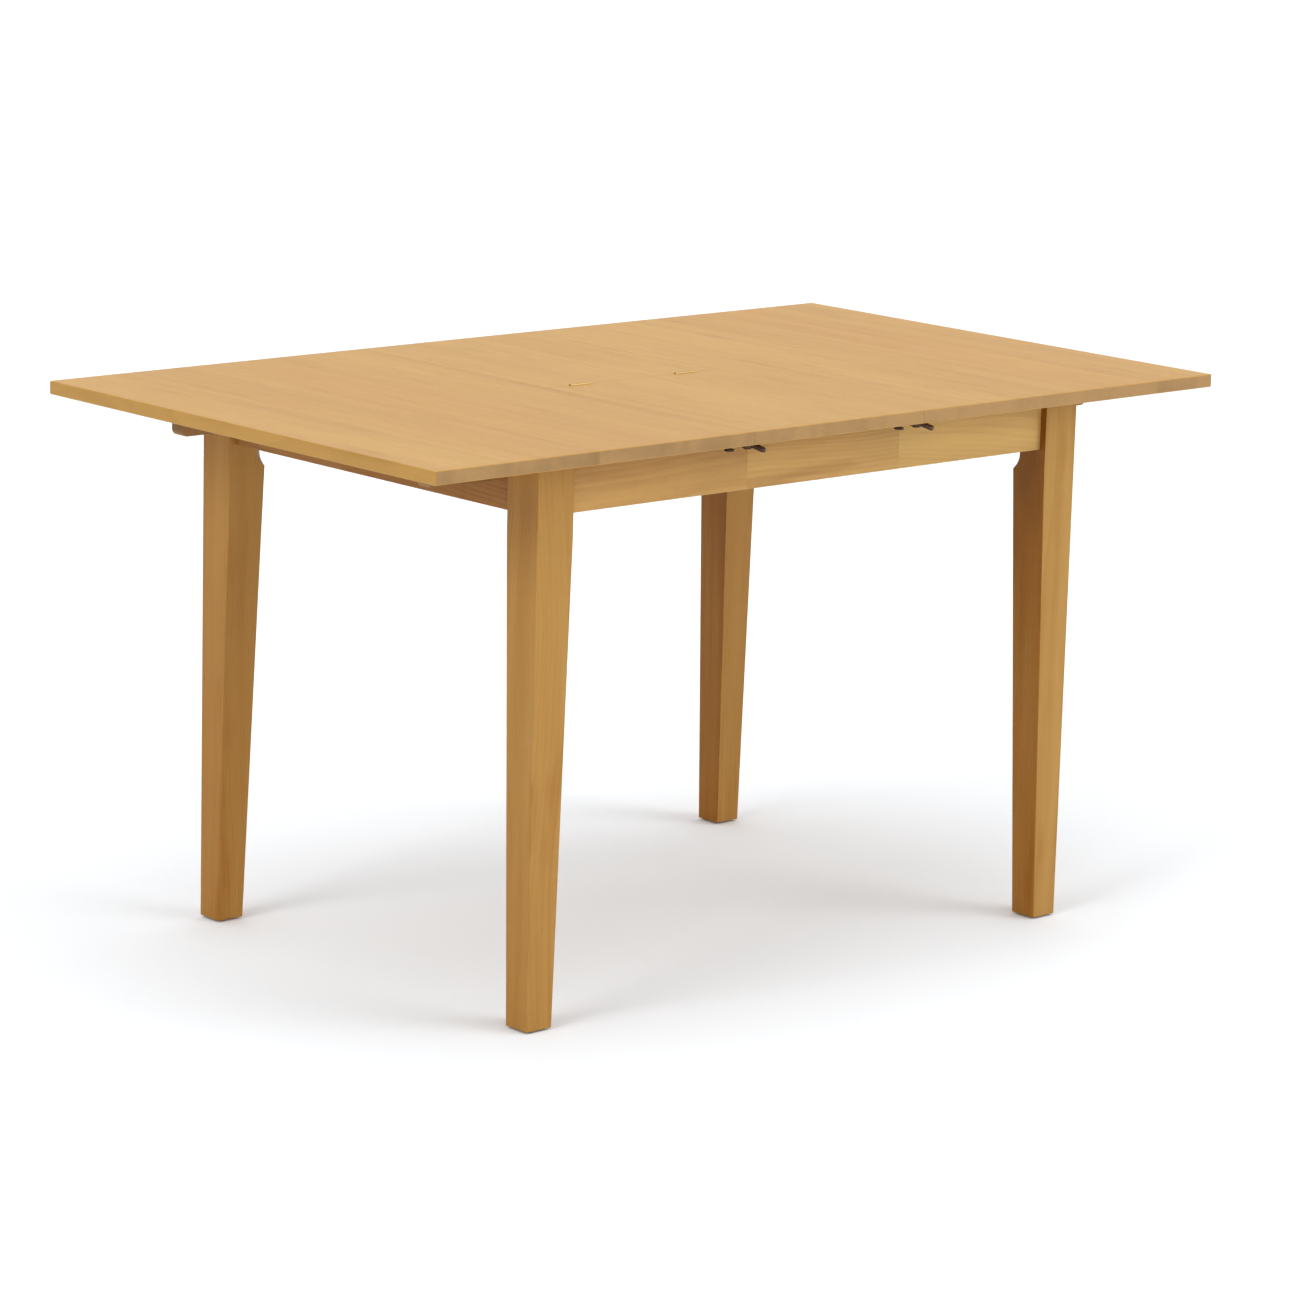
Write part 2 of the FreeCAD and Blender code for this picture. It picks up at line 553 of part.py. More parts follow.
def frame_hardware():
    """Hanger bolts and nuts, bracket screws, foot glides and slide pads."""
    bolts = []
    nuts = []
    bracket_screws = []
    glides = []
    for (side, face), turn in CORNERS.items():
        out = (-side * DIAGONAL, -face * DIAGONAL, 0)
        corner = (f"{side} * {LEG_X}", f"{face} * {LEG_Y}", BRACKET_MIDDLE)
        name = f"{FACE_NAME[face]}_{SIDE_NAME[side]}"
        point = along(corner, out, f"{FLAT_AT} - bolt_in")
        bolts.append(primitive("Cylinder", "hanger_bolt_" + name, point, out, Radius="bolt_radius",
                               Height="bolt_in + bolt_out"))
        seat = along(corner, out, f"{FLAT_AT} + bracket_thick")
        hexagon = primitive("Prism", "nut_blank_" + name, seat, out, Circumradius="nut_across / sqrt(3)",
                            Height="nut_thick")
        bore = primitive("Cylinder", "nut_bore_" + name, seat, out, Radius="bolt_radius + run_clear",
                         Height="nut_thick")
        nut = doc.addObject("Part::Cut", "nut_" + name)
        nut.Base = hexagon
        nut.Tool = bore
        nuts.append(nut)
        wing = f"{APRON_IN} + bracket_thick"
        bracket_screws += screws(f"bracket_{name}_x", [(f"{side} * ({LEG_X} - {WING_MIDDLE})",
                                 f"{face} * ({LEG_Y} - ({wing}))", BRACKET_MIDDLE)], (0, face, 0))
        bracket_screws += screws(f"bracket_{name}_y", [(f"{side} * ({LEG_X} - ({wing}))",
                                 f"{face} * ({LEG_Y} - {WING_MIDDLE})", BRACKET_MIDDLE)], (side, 0, 0))
        foot = (f"{side} * ({LEG_X} - leg_foot / 2)", f"{face} * ({LEG_Y} - leg_foot / 2)")
        disc = primitive("Cone", "glide_disc_" + name, foot + ("0",), (0, 0, 1), Radius1="glide_radius - 1",
                         Radius2="glide_radius", Height="glide_height")
        nail = primitive("Cylinder", "glide_nail_" + name, foot + ("glide_height / 2",), (0, 0, 1),
                         Radius="nail_radius", Height="nail_length + glide_height / 2 - run_clear")
        glides.append(fused("glide_" + name, disc, nail))
    group("hanger_bolts", bolts)
    group("hanger_nuts", nuts)
    group("bracket_screws", bracket_screws)
    group("foot_glides", glides)

    pads = []
    for sign in SIDES:
        strip = doc.addObject("Part::Box", f"long_pad_{FACE_NAME[sign]}")
        bind(strip, Length=f"2 * ({LEG_X} - leg_head)", Width="pad_width", Height="pad_thick",
             Placement__Base__x=f"-({LEG_X} - leg_head)", Placement__Base__z=APRON_TOP,
             Placement__Base__y=f"{sign} * ({APRON_FACE_Y} - apron_thick / 2) - pad_width / 2")
        pads.append(strip)
        strip = doc.addObject("Part::Box", f"end_pad_{SIDE_NAME[sign]}")
        bind(strip, Length="pad_width", Width="2 * (runner_inner - pad_width)", Height="pad_thick",
             Placement__Base__x=f"{sign} * ({APRON_FACE_X} - apron_thick / 2) - pad_width / 2",
             Placement__Base__y="-(runner_inner - pad_width)", Placement__Base__z=APRON_TOP)
        pads.append(strip)
    group("slide_pads", pads)


# ---------------------------------------------------------------- top halves and their runners

def outer_edges(body, is_seam):
    """Round the upper outer edges and chamfer the lower ones, but leave the seams square."""
    top = number("table_height")
    low = number(UNDERSIDE)
    dress(body, "Fillet", "arris_round", lambda box: level(box, top) and not is_seam(box))
    dress(body, "Chamfer", "under_chamfer", lambda box: level(box, low) and not is_seam(box))


def pilot_holes(body, places, radius, depth):
    """Blind holes in a board's underside."""
    pocket(body, circles(sketch_on(body, lift=UNDERSIDE), places, radius), depth, ahead=True)


def table_half(side):
    body = new_body(f"top_{SIDE_NAME[side]}")
    board = rectangle(sketch_on(body, lift=UNDERSIDE), HALF_EDGE[side], f"{side} * top_length / 2",
                      "-top_width / 2", "top_width / 2")
    pad(body, board, "top_thick")
    end = number(f"{side} * top_length / 2")
    seam = number(HALF_EDGE[side])
    dress(body, "Fillet", "corner_round", lambda box: upright(box) and same(box.XMin, end))
    outer_edges(body, lambda box: same(box.XMin, seam) and same(box.XMax, seam))
    middle = "(runner_inner + runner_wide / 2)"
    places = [(x, f"{face} * {middle}") for face in SIDES for x in RUNNER_SCREWS[side]]
    pilot_holes(body, places, "runner_screw_shank + screw_clear",
                "runner_screw_length + counterbore_deep - runner_depth")
    pilot_holes(body, LOCK_SCREWS[body.Label], "screw_shank + screw_clear", "screw_length - lock_plate")


def runner(side, face):
    """A runner under a top half. Its tongue stops short of the end apron, so the runner can slide
    out; the runner's outer end has a rounded lower corner."""
    body = new_body(f"runner_{SIDE_NAME[side]}_{FACE_NAME[face]}")
    inset = "runner_long" if side != face else "runner_short"
    inner_end = f"({SEAM[side]} + {side} * runner_back)"
    outer_end = f"({side} * (top_length / 2 - {inset}))"
    length = f"({side} * ({outer_end} - {inner_end}))"
    bar = rectangle(sketch_on(body, "YZ", lift=inner_end), f"{face} * runner_inner", f"{face} * {RUNNER_OUT}",
                    RUNNER_LOW, UNDERSIDE)
    pad(body, bar, length, back=side < 0)
    end = number(outer_end)
    dress(body, "Fillet", "runner_round", lambda box: level(box, number(RUNNER_LOW)) and same(box.XMin, end)
          and same(box.XMax, end))
    tongue_end = f"({side} * ({APRON_IN_X} - slide_travel - slide_clear))"
    tongue = rectangle(sketch_on(body, "YZ", lift=inner_end), f"{face} * ({RUNNER_OUT} - slide_clear)",
                       f"{face} * ({RUNNER_OUT} + tongue_deep)", f"{RUNNER_LOW} + tongue_low",
                       f"{RUNNER_LOW} + tongue_low + tongue_high")
    pad(body, tongue, f"{side} * ({tongue_end} - {inner_end})", back=side < 0)
    middle = f"{face} * (runner_inner + runner_wide / 2)"
    places = [(x, middle) for x in RUNNER_SCREWS[side]]
    pocket(body, circles(sketch_on(body, lift=RUNNER_LOW), places, "counterbore_radius"), "counterbore_deep",
           ahead=True)
    pocket(body, circles(sketch_on(body, lift=RUNNER_LOW), places, "runner_screw_shank + screw_clear"),
           "runner_depth", ahead=True)
    peg = circles(sketch_on(body, lift=RUNNER_LOW), [(PEG_X[side], middle)], "peg_radius + screw_clear")
    pocket(body, peg, "peg_deep", ahead=True)


def slide_hardware(side):
    """Runner screws and the pegs that stop the runners at the end apron."""
    places = [(x, f"{face} * (runner_inner + runner_wide / 2)", f"{RUNNER_LOW} + counterbore_deep")
              for face in SIDES for x in RUNNER_SCREWS[side]]
    name = SIDE_NAME[side]
    group(f"runner_screws_{name}", screws(f"runner_{name}", places, (0, 0, 1), size="runner_"))
    group(f"stop_pegs_{name}", [
        primitive("Cylinder", f"stop_peg_{name}_{FACE_NAME[face]}",
                  (PEG_X[side], f"{face} * (runner_inner + runner_wide / 2)", f"{RUNNER_LOW} - peg_drop"),
                  (0, 0, 1), Radius="peg_radius", Height="peg_drop + peg_deep") for face in SIDES])


# ---------------------------------------------------------------- leaf, its fold and its pivot

HINGES = {side: f"(leaf_offset + {side} * hinge_place)" for side in SIDES}


def leaf_half(face):
    body = new_body(f"leaf_{FACE_NAME[face]}")
    board = rectangle(sketch_on(body, lift=UNDERSIDE), LEAF_EDGE[-1], LEAF_EDGE[1], f"{face} * seam_gap / 2",
                      f"{face} * top_width / 2")
    pad(body, board, "top_thick")
    outer = number(f"{face} * top_width / 2")
    outer_edges(body, lambda box: not (same(box.YMin, outer) and same(box.YMax, outer)))
    for hinge in HINGES.values():
        half = "(hinge_length / 2 + knuckle_clear)"
        mortise = rectangle(sketch_on(body, lift=FOLD_Z), f"{hinge} - {half}", f"{hinge} + {half}", "0",
                            f"{face} * (seam_gap / 2 + hinge_plate + screw_clear)")
        pocket(body, mortise, "hinge_deep + screw_clear")
        hollow = circles(sketch_on(body, "YZ", lift=hinge), [("0", FOLD_Z)], "knuckle_radius + knuckle_clear")
        pocket(body, hollow, f"2 * {half}", middle=True)
    hole = "screw_shank + screw_clear"
    if face < 0:
        pilot_holes(body, ARM_SCREWS[-1] + ARM_SCREWS[1], hole, "screw_length - arm_thick")
    pilot_holes(body, LOCK_SCREWS[body.Label], hole, "screw_length - lock_plate")


def hinge_plate(side, face):
    """One plate of a leaf hinge. The front plate has the two outer knuckles, the back plate the
    middle one."""
    body = new_body(f"leaf_hinge_{SIDE_NAME[side]}_{FACE_NAME[face]}", grouped=True)
    hinge = HINGES[side]
    inner_face = f"{face} * seam_gap / 2"
    outer_face = f"{face} * (seam_gap / 2 + hinge_plate)"
    neck = f"({FOLD_Z} - knuckle_radius - knuckle_clear)"
    low = f"{FOLD_Z} - hinge_deep"
    plate = rectangle(sketch_on(body, "YZ", lift=hinge), inner_face, outer_face, low, neck)
    pad(body, plate, "hinge_length", middle=True)
    third = "(hinge_length / 3)"
    if face < 0:
        spans = [(f"{hinge} - hinge_length / 2", third), (f"{hinge} + hinge_length / 2 - {third}", third)]
    else:
        spans = [(f"{hinge} - {third} / 2 + knuckle_clear", f"{third} - 2 * knuckle_clear")]
    for start, length in spans:
        tab = rectangle(sketch_on(body, "YZ", lift=start), inner_face, outer_face, f"{neck} - hinge_plate",
                        FOLD_Z)
        pad(body, tab, length)
        pad(body, circles(sketch_on(body, "YZ", lift=start), [("0", FOLD_Z)], "knuckle_radius"), length)
    bore = circles(sketch_on(body, "YZ", lift=hinge), [("0", FOLD_Z)], "hinge_pin + run_clear")
    pocket(body, bore, "2 * hinge_length", middle=True)
    return body


def pivot_plate(side):
    """A plate on a cross rail with the shouldered stud that the leaf turns on."""
    body = new_body(f"pivot_plate_{SIDE_NAME[side]}")
    face = RAIL_FACE[side]
    low = f"{PIVOT_Z} - plate_low"
    plate = rectangle(sketch_on(body, "YZ", lift=face), "-pivot_back - plate_wide / 2",
                      "-pivot_back + plate_wide / 2", low, f"{low} + plate_high")
    pad(body, plate, "arm_thick", back=side > 0)
    dress(body, "Fillet", "plate_round", lambda box: box.YLength < 1e-3 and box.ZLength < 1e-3)
    pocket(body, circles(sketch_on(body, "YZ", lift=face), PIVOT_SCREWS, "screw_shank + screw_clear"),
           "2 * arm_thick", middle=True)
    centre = [("-pivot_back", PIVOT_Z)]
    reach = "(rail_clear + seam_gap / 2 + arm_inset - shoulder_clear)"
    shoulder = circles(sketch_on(body, "YZ", lift=face), centre, "stud_radius + arm_thick")
    pad(body, shoulder, reach, back=side > 0)
    pad(body, circles(sketch_on(body, "YZ", lift=face), centre, "stud_radius"),
        f"{reach} + 2 * shoulder_clear + arm_thick", back=side > 0)


def pivot_arm(side):
    """An angle under the front half of the leaf, with an ear that turns on the stud."""
    body = new_body(f"pivot_arm_{SIDE_NAME[side]}")
    edge = f"({LEAF_EDGE[side]} - {side} * arm_inset)"
    flange = rectangle(sketch_on(body, lift=f"{UNDERSIDE} - arm_thick"), edge, f"{edge} - {side} * arm_width",
                       "-pivot_back - arm_length / 2", "-pivot_back + arm_length / 2")
    pad(body, flange, "arm_thick")
    inner = number(f"{edge} - {side} * arm_width")
    dress(body, "Fillet", "plate_round", lambda box: upright(box) and same(box.XMin, inner))
    shoulder = "(arm_nose + arm_thick + plate_round)"
    ear = outline(sketch_on(body, "YZ", lift=edge), [
        (f"-pivot_back - {shoulder}", f"{UNDERSIDE} - arm_thick / 2"),
        (f"-pivot_back + {shoulder}", f"{UNDERSIDE} - arm_thick / 2"),
        ("-pivot_back + arm_nose", PIVOT_Z), ("-pivot_back - arm_nose", PIVOT_Z)])
    pad(body, ear, "arm_thick", back=side > 0)
    centre = [("-pivot_back", PIVOT_Z)]
    pad(body, circles(sketch_on(body, "YZ", lift=edge), centre, "arm_nose"), "arm_thick", back=side > 0)
    bore = circles(sketch_on(body, "YZ", lift=edge), centre, "stud_radius + run_clear")
    pocket(body, bore, "4 * arm_thick", middle=True)
    pocket(body, circles(sketch_on(body, lift=UNDERSIDE), ARM_SCREWS[side], "screw_shank + screw_clear"),
           "arm_thick")


def leaf_hardware():
    """Hinge plates and pins, and the screws of the pivot arms and plates."""
    for face in SIDES:
        group(f"leaf_hinges_{FACE_NAME[face]}", [hinge_plate(side, face) for side in SIDES])
    pins = []
    for side, hinge in HINGES.items():
        start = (f"{hinge} - hinge_length / 2", "0", FOLD_Z)
        pins.append(primitive("Cylinder", f"leaf_hinge_pin_{SIDE_NAME[side]}", start, (1, 0, 0),
                              Radius="hinge_pin", Height="hinge_length"))
    group("leaf_hinge_pins", pins)
    arm_places = [(x, y, f"{UNDERSIDE} - arm_thick") for x, y in ARM_SCREWS[-1] + ARM_SCREWS[1]]
    group("pivot_arm_screws", screws("arm", arm_places, (0, 0, 1)))
    made = []
    for side in SIDES:
        places = [(f"{RAIL_FACE[side]} - {side} * arm_thick", y, z) for y, z in PIVOT_SCREWS]
        made += screws(f"plate_{SIDE_NAME[side]}", places, (side, 0, 0))
    group("pivot_plate_screws", made)
    for board, places in LOCK_SCREWS.items():
        seats = [(x, y, f"{UNDERSIDE} - lock_plate") for x, y in places]
        group(f"lock_screws_{board}", screws(f"lock_{board}", seats, (0, 0, 1)))


# ---------------------------------------------------------------- leaf locks

def rounded_plate(body, x0, x1):
    """A lock's plate, let down from the boards' underside, with rounded corners."""
    plate = rectangle(sketch_on(body), x0, x1, "-lock_wide / 2", "lock_wide / 2")
    pad(body, plate, "lock_plate", back=True)
    dress(body, "Fillet", "lock_wide / 4", upright)


def headed_stud(body, x, neck, head):
    """A stud with a flat head, standing down from a lock's plate."""
    pad(body, circles(sketch_on(body), [(x, "0")], neck), f"{HEAD_TOP} + head_thick / 2", back=True)
    pad(body, circles(sketch_on(body, lift=f"-{HEAD_TOP}"), [(x, "0")], head), "head_thick", back=True)
    low = number(f"-{HEAD_TOP} - head_thick")
    dress(body, "Chamfer", "head_thick / 4", lambda box: level(box, low))


def lock(seam_side, face):
    """A turn-lever lock under a seam: a keeper stud left of it, a lever on its base right of it.
    Everything hangs from the boards' underside. The lever is drawn closed, with its jaw round
    the stud, and placed open."""
    place = f"{FACE_NAME[face]}_{SIDE_NAME[seam_side]}"
    where = dict(y=f"{face} * {LOCK_Y}", z=UNDERSIDE)
    seam = SEAM[seam_side]

    keeper = new_body(f"lock_keeper_{place}", x=seam, **where)
    rounded_plate(keeper, "-keeper_start - keeper_length", "-keeper_start")
    headed_stud(keeper, "-keeper_stud", "keeper_neck", "keeper_head")
    hole = "screw_shank + screw_clear"
    pocket(keeper, circles(sketch_on(keeper), [(x, "0") for x in KEEPER_SCREWS], hole), "2 * lock_plate")

    base = new_body(f"lock_base_{place}", x=seam, **where)
    rounded_plate(base, "base_start", "base_start + base_length")
    headed_stud(base, "lever_pivot", "pivot_radius", "pivot_head")
    pocket(base, circles(sketch_on(base), [(x, "0") for x in BASE_SCREWS], hole), "2 * lock_plate")

    lead = -face
    lever = new_body(f"lock_lever_{place}", x=f"{seam} + lever_pivot", turn=-lead * number("lock_swing"),
                     **where)
    centre = ("0", "0")
    reach = "(lever_pivot + keeper_stud)"
    slot = "(keeper_neck + jaw_clear)"
    rim = f"({reach} + {slot} + jaw_wall)"
    root = "(hub_radius - jaw_wall)"
    heel = f"({-lead} * jaw_heel)"
    front = f"({lead} * jaw_lead)"
    mouth = f"({lead} * (jaw_lead + jaw_heel))"

    def polar(radius, angle):
        """A point of the jaw: the angle is from the closed jaw's middle line, in degrees."""
        return (f"-{radius} * cos({angle})", f"-{radius} * sin({angle})")

    jaw = outline(sketch_on(lever, lift=f"-{LEVER_LOW}"),
                  [polar(root, heel), polar(rim, heel), polar(rim, front), polar(root, front)],
                  {1: (*centre, lead)})
    pad(lever, jaw, "lever_thick")
    inner = f"({reach} - {slot})"
    outer = f"({reach} + {slot})"
    throat = outline(sketch_on(lever, lift=f"-{LEVER_LOW}"),
                     [polar(inner, "0"), polar(inner, mouth), polar(outer, mouth), polar(outer, "0")],
                     {0: (*centre, lead), 2: (*centre, -lead), 3: (f"-{reach}", "0", -lead)})
    pocket(lever, throat, "lever_thick", ahead=True)
    pad(lever, circles(sketch_on(lever, lift=f"-{LEVER_LOW}"), [centre], "hub_radius"), "lever_thick")
    start = "(hub_radius * 0.75)"
    bend = "(hub_radius + lock_clear)"
    handle = outline(sketch_on(lever, "XZ", swing=lead * number("handle_turn")), [
        (start, f"-{LEVER_TOP}"), (bend, f"-{LEVER_TOP}"), ("handle_length", f"-{LEVER_TOP} - handle_drop"),
        ("handle_length", f"-{LEVER_LOW} - handle_drop"), (bend, f"-{LEVER_LOW}"), (start, f"-{LEVER_LOW}")])
    pad(lever, handle, "handle_wide", middle=True)
    tip = math.hypot(number("handle_length"), number("handle_wide / 2"))
    dress(lever, "Fillet", "handle_wide / 3",
          lambda box: upright(box) and same(math.hypot(box.XMin, box.YMin), tip))
    pocket(lever, circles(sketch_on(lever), [centre], "pivot_radius + run_clear"), "2 * top_thick")


# ---------------------------------------------------------------- the whole table

def write_nodes():
    """Check every object and write each node's solids."""
    doc.recompute()
    failed = [item.Label for item in doc.Objects if {"Invalid", "Error"} & set(item.State)]
    failed += [node.Label for node in NODES if node.Shape.isNull() or not node.Shape.isValid()]
    if failed:
        raise RuntimeError("failed: " + ", ".join(failed))
    os.makedirs("parts", exist_ok=True)
    for node in NODES:
        node.Shape.exportStep(f"parts/{node.Label}.step")


for side, face in CORNERS:
    leg(side, face)
for sign in SIDES:
    long_apron(sign)
    end_apron(sign)
    cross_rail(sign)
    guide_rail(sign)
    leaf_rest(sign)
    pivot_plate(sign)
group("corner_brackets", [corner_bracket(side, face) for side, face in CORNERS])
frame_hardware()
for side in SIDES:
    table_half(side)
    for face in SIDES:
        runner(side, face)
    slide_hardware(side)
for sign in SIDES:
    leaf_half(sign)
    pivot_arm(sign)
leaf_hardware()
for seam_side in SIDES:
    for face in SIDES:
        lock(seam_side, face)
write_nodes()
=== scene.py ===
import math

import bmesh
import bpy
from mathutils import Matrix, Vector


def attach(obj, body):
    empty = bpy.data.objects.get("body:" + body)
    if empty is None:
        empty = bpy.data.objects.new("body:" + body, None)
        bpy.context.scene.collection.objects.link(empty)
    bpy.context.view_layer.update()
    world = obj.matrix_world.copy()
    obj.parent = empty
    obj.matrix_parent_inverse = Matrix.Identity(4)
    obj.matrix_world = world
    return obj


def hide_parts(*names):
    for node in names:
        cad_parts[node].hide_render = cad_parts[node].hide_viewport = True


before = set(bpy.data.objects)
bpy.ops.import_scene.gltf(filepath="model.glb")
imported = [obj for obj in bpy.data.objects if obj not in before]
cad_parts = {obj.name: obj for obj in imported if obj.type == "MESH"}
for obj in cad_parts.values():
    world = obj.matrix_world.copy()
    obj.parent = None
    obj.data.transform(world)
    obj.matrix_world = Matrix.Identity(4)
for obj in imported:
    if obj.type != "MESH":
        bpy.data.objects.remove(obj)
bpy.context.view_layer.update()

bl_info = {
    "name": "Butterfly Leaf Table",
    "version": (1, 0, 0),
    "blender": (4, 5, 0),
    "location": "3D View > Sidebar > Table",
    "description": "Wood and metal finishes, fasteners and a studio for a butterfly leaf table",
    "category": "Object",
}


# ---------------------------------------------------------------- what a user would change


class WoodSettings(bpy.types.PropertyGroup):
    """Colours and grain of the table's wood."""

    top_pale: bpy.props.FloatVectorProperty(
        name="Top, pale", description="Palest wood of the top and the leaf", subtype="COLOR",
        min=0, max=1, default=(0.530, 0.298, 0.067))
    top_deep: bpy.props.FloatVectorProperty(
        name="Top, deep", description="Deepest grain of the top and the leaf", subtype="COLOR",
        min=0, max=1, default=(0.36, 0.175, 0.036))
    apron_pale: bpy.props.FloatVectorProperty(
        name="Aprons, pale", description="Palest wood of the aprons", subtype="COLOR",
        min=0, max=1, default=(0.595, 0.362, 0.112))
    apron_deep: bpy.props.FloatVectorProperty(
        name="Aprons, deep", description="Deepest grain of the aprons", subtype="COLOR",
        min=0, max=1, default=(0.28, 0.118, 0.024))
    leg_pale: bpy.props.FloatVectorProperty(
        name="Legs, pale", description="Palest wood of the legs", subtype="COLOR",
        min=0, max=1, default=(0.465, 0.258, 0.064))
    leg_deep: bpy.props.FloatVectorProperty(
        name="Legs, deep", description="Deepest grain of the legs", subtype="COLOR",
        min=0, max=1, default=(0.30, 0.108, 0.005))
    rail_pale: bpy.props.FloatVectorProperty(
        name="Rails, pale", description="Palest wood of the rails and runners", subtype="COLOR",
        min=0, max=1, default=(0.40, 0.235, 0.095))
    rail_deep: bpy.props.FloatVectorProperty(
        name="Rails, deep", description="Deepest grain of the rails and runners", subtype="COLOR",
        min=0, max=1, default=(0.24, 0.120, 0.040))
    end_grain: bpy.props.FloatVectorProperty(
        name="End grain", description="Wood cut across the grain", subtype="COLOR",
        min=0, max=1, default=(0.41, 0.235, 0.088))
    ring_gap: bpy.props.FloatProperty(
        name="Ring gap", description="Distance from one growth ring to the next", unit="LENGTH",
        min=0.0005, max=0.02, default=0.0042, precision=4)
    contrast: bpy.props.FloatProperty(
        name="Grain contrast", description="How strongly the grain shows", subtype="FACTOR",
        min=0, max=1, default=0.5)
    lacquer: bpy.props.FloatProperty(
        name="Lacquer roughness", description="Roughness of the satin lacquer", subtype="FACTOR",
        min=0, max=1, default=0.46)


class MetalSettings(bpy.types.PropertyGroup):
    """Colours of the locks, hardware and hinges."""

    bronze: bpy.props.FloatVectorProperty(
        name="Lock bronze", description="Lacquered bronze of the leaf locks", subtype="COLOR",
        min=0, max=1, default=(0.085, 0.052, 0.036))
    rubbed: bpy.props.FloatVectorProperty(
        name="Rubbed bronze", description="Bronze where the lacquer is rubbed", subtype="COLOR",
        min=0, max=1, default=(0.30, 0.17, 0.10))
    zinc: bpy.props.FloatVectorProperty(
        name="Zinc", description="Zinc plating on the brackets, bolts and screws", subtype="COLOR",
        min=0, max=1, default=(0.60, 0.61, 0.62))
    brass: bpy.props.FloatVectorProperty(
        name="Brass", description="Brass of the leaf hinges", subtype="COLOR",
        min=0, max=1, default=(0.57, 0.38, 0.155))


class SoftSettings(bpy.types.PropertyGroup):
    """Colours of the felt pads and the foot glides."""

    felt: bpy.props.FloatVectorProperty(
        name="Felt", description="Slide pads on the aprons", subtype="COLOR",
        min=0, max=1, default=(0.30, 0.25, 0.20))
    nylon: bpy.props.FloatVectorProperty(
        name="Glides", description="Nylon of the foot glides", subtype="COLOR",
        min=0, max=1, default=(0.62, 0.58, 0.50))


class FastenerSettings(bpy.types.PropertyGroup):
    """Sizes of the screws and bolts that aren't set by the frame."""

    screw_pitch: bpy.props.FloatProperty(
        name="Screw pitch", description="Pitch of the wood screws", unit="LENGTH",
        min=0.0005, max=0.005, default=0.0016, precision=4)
    bolt_pitch: bpy.props.FloatProperty(
        name="Bolt pitch", description="Pitch of the hanger bolts outside the leg", unit="LENGTH",
        min=0.0005, max=0.005, default=0.00125, precision=5)
    recess_reach: bpy.props.FloatProperty(
        name="Recess reach", description="Cross recess to the screw head's rim, as a share of its radius",
        subtype="FACTOR", min=0.2, max=0.7, default=0.58)


class StudioSettings(bpy.types.PropertyGroup):
    """The camera, the floor and the lights."""

    camera_place: bpy.props.FloatVectorProperty(
        name="Camera", description="Where the camera stands", subtype="TRANSLATION", unit="LENGTH",
        default=(-4.3001, -4.8177, 1.7844))
    camera_turn: bpy.props.FloatProperty(
        name="Camera turn", description="Turn of the camera from the table's depth", subtype="ANGLE",
        default=math.radians(41.90))
    camera_dip: bpy.props.FloatProperty(
        name="Camera dip", description="How far the camera looks down", subtype="ANGLE",
        default=math.radians(12.26))
    camera_roll: bpy.props.FloatProperty(
        name="Camera roll", description="Tilt of the camera about its own axis", subtype="ANGLE",
        default=math.radians(1.536))
    lens: bpy.props.FloatProperty(
        name="Lens", description="Focal length", subtype="DISTANCE_CAMERA", default=132.34)
    floor_tone: bpy.props.FloatProperty(
        name="Floor tone", description="How pale the floor is", subtype="FACTOR",
        min=0, max=1, default=0.93)
    overhead: bpy.props.FloatProperty(
        name="Overhead light", description="Strength of the wide light overhead", min=0, max=5, default=1.75)
    backdrop: bpy.props.FloatProperty(
        name="Backdrop light", description="Strength of the bright backdrop behind the table", min=0, max=5,
        default=1.1)
    front_fill: bpy.props.FloatProperty(
        name="Front fill", description="Strength of the dim fill from the front", min=0, max=5, default=0.75)
    surroundings: bpy.props.FloatProperty(
        name="Surroundings", description="Strength of the light from everywhere else", min=0, max=5,
        default=0.03)
    left_light: bpy.props.FloatProperty(
        name="Left light", description="Strength of the soft light at the table's left end", min=0, max=20,
        default=1.2)
    front_light: bpy.props.FloatProperty(
        name="Front light", description="Strength of the soft light in front of the table", min=0, max=20,
        default=0.9)
    left_spread: bpy.props.FloatProperty(
        name="Left spread", description="How wide the light at the left end is", subtype="ANGLE",
        min=0, max=math.pi, default=math.radians(28))
    front_spread: bpy.props.FloatProperty(
        name="Front spread", description="How wide the light in front is", subtype="ANGLE",
        min=0, max=math.pi, default=math.radians(36))


# ---------------------------------------------------------------- expressions on sockets


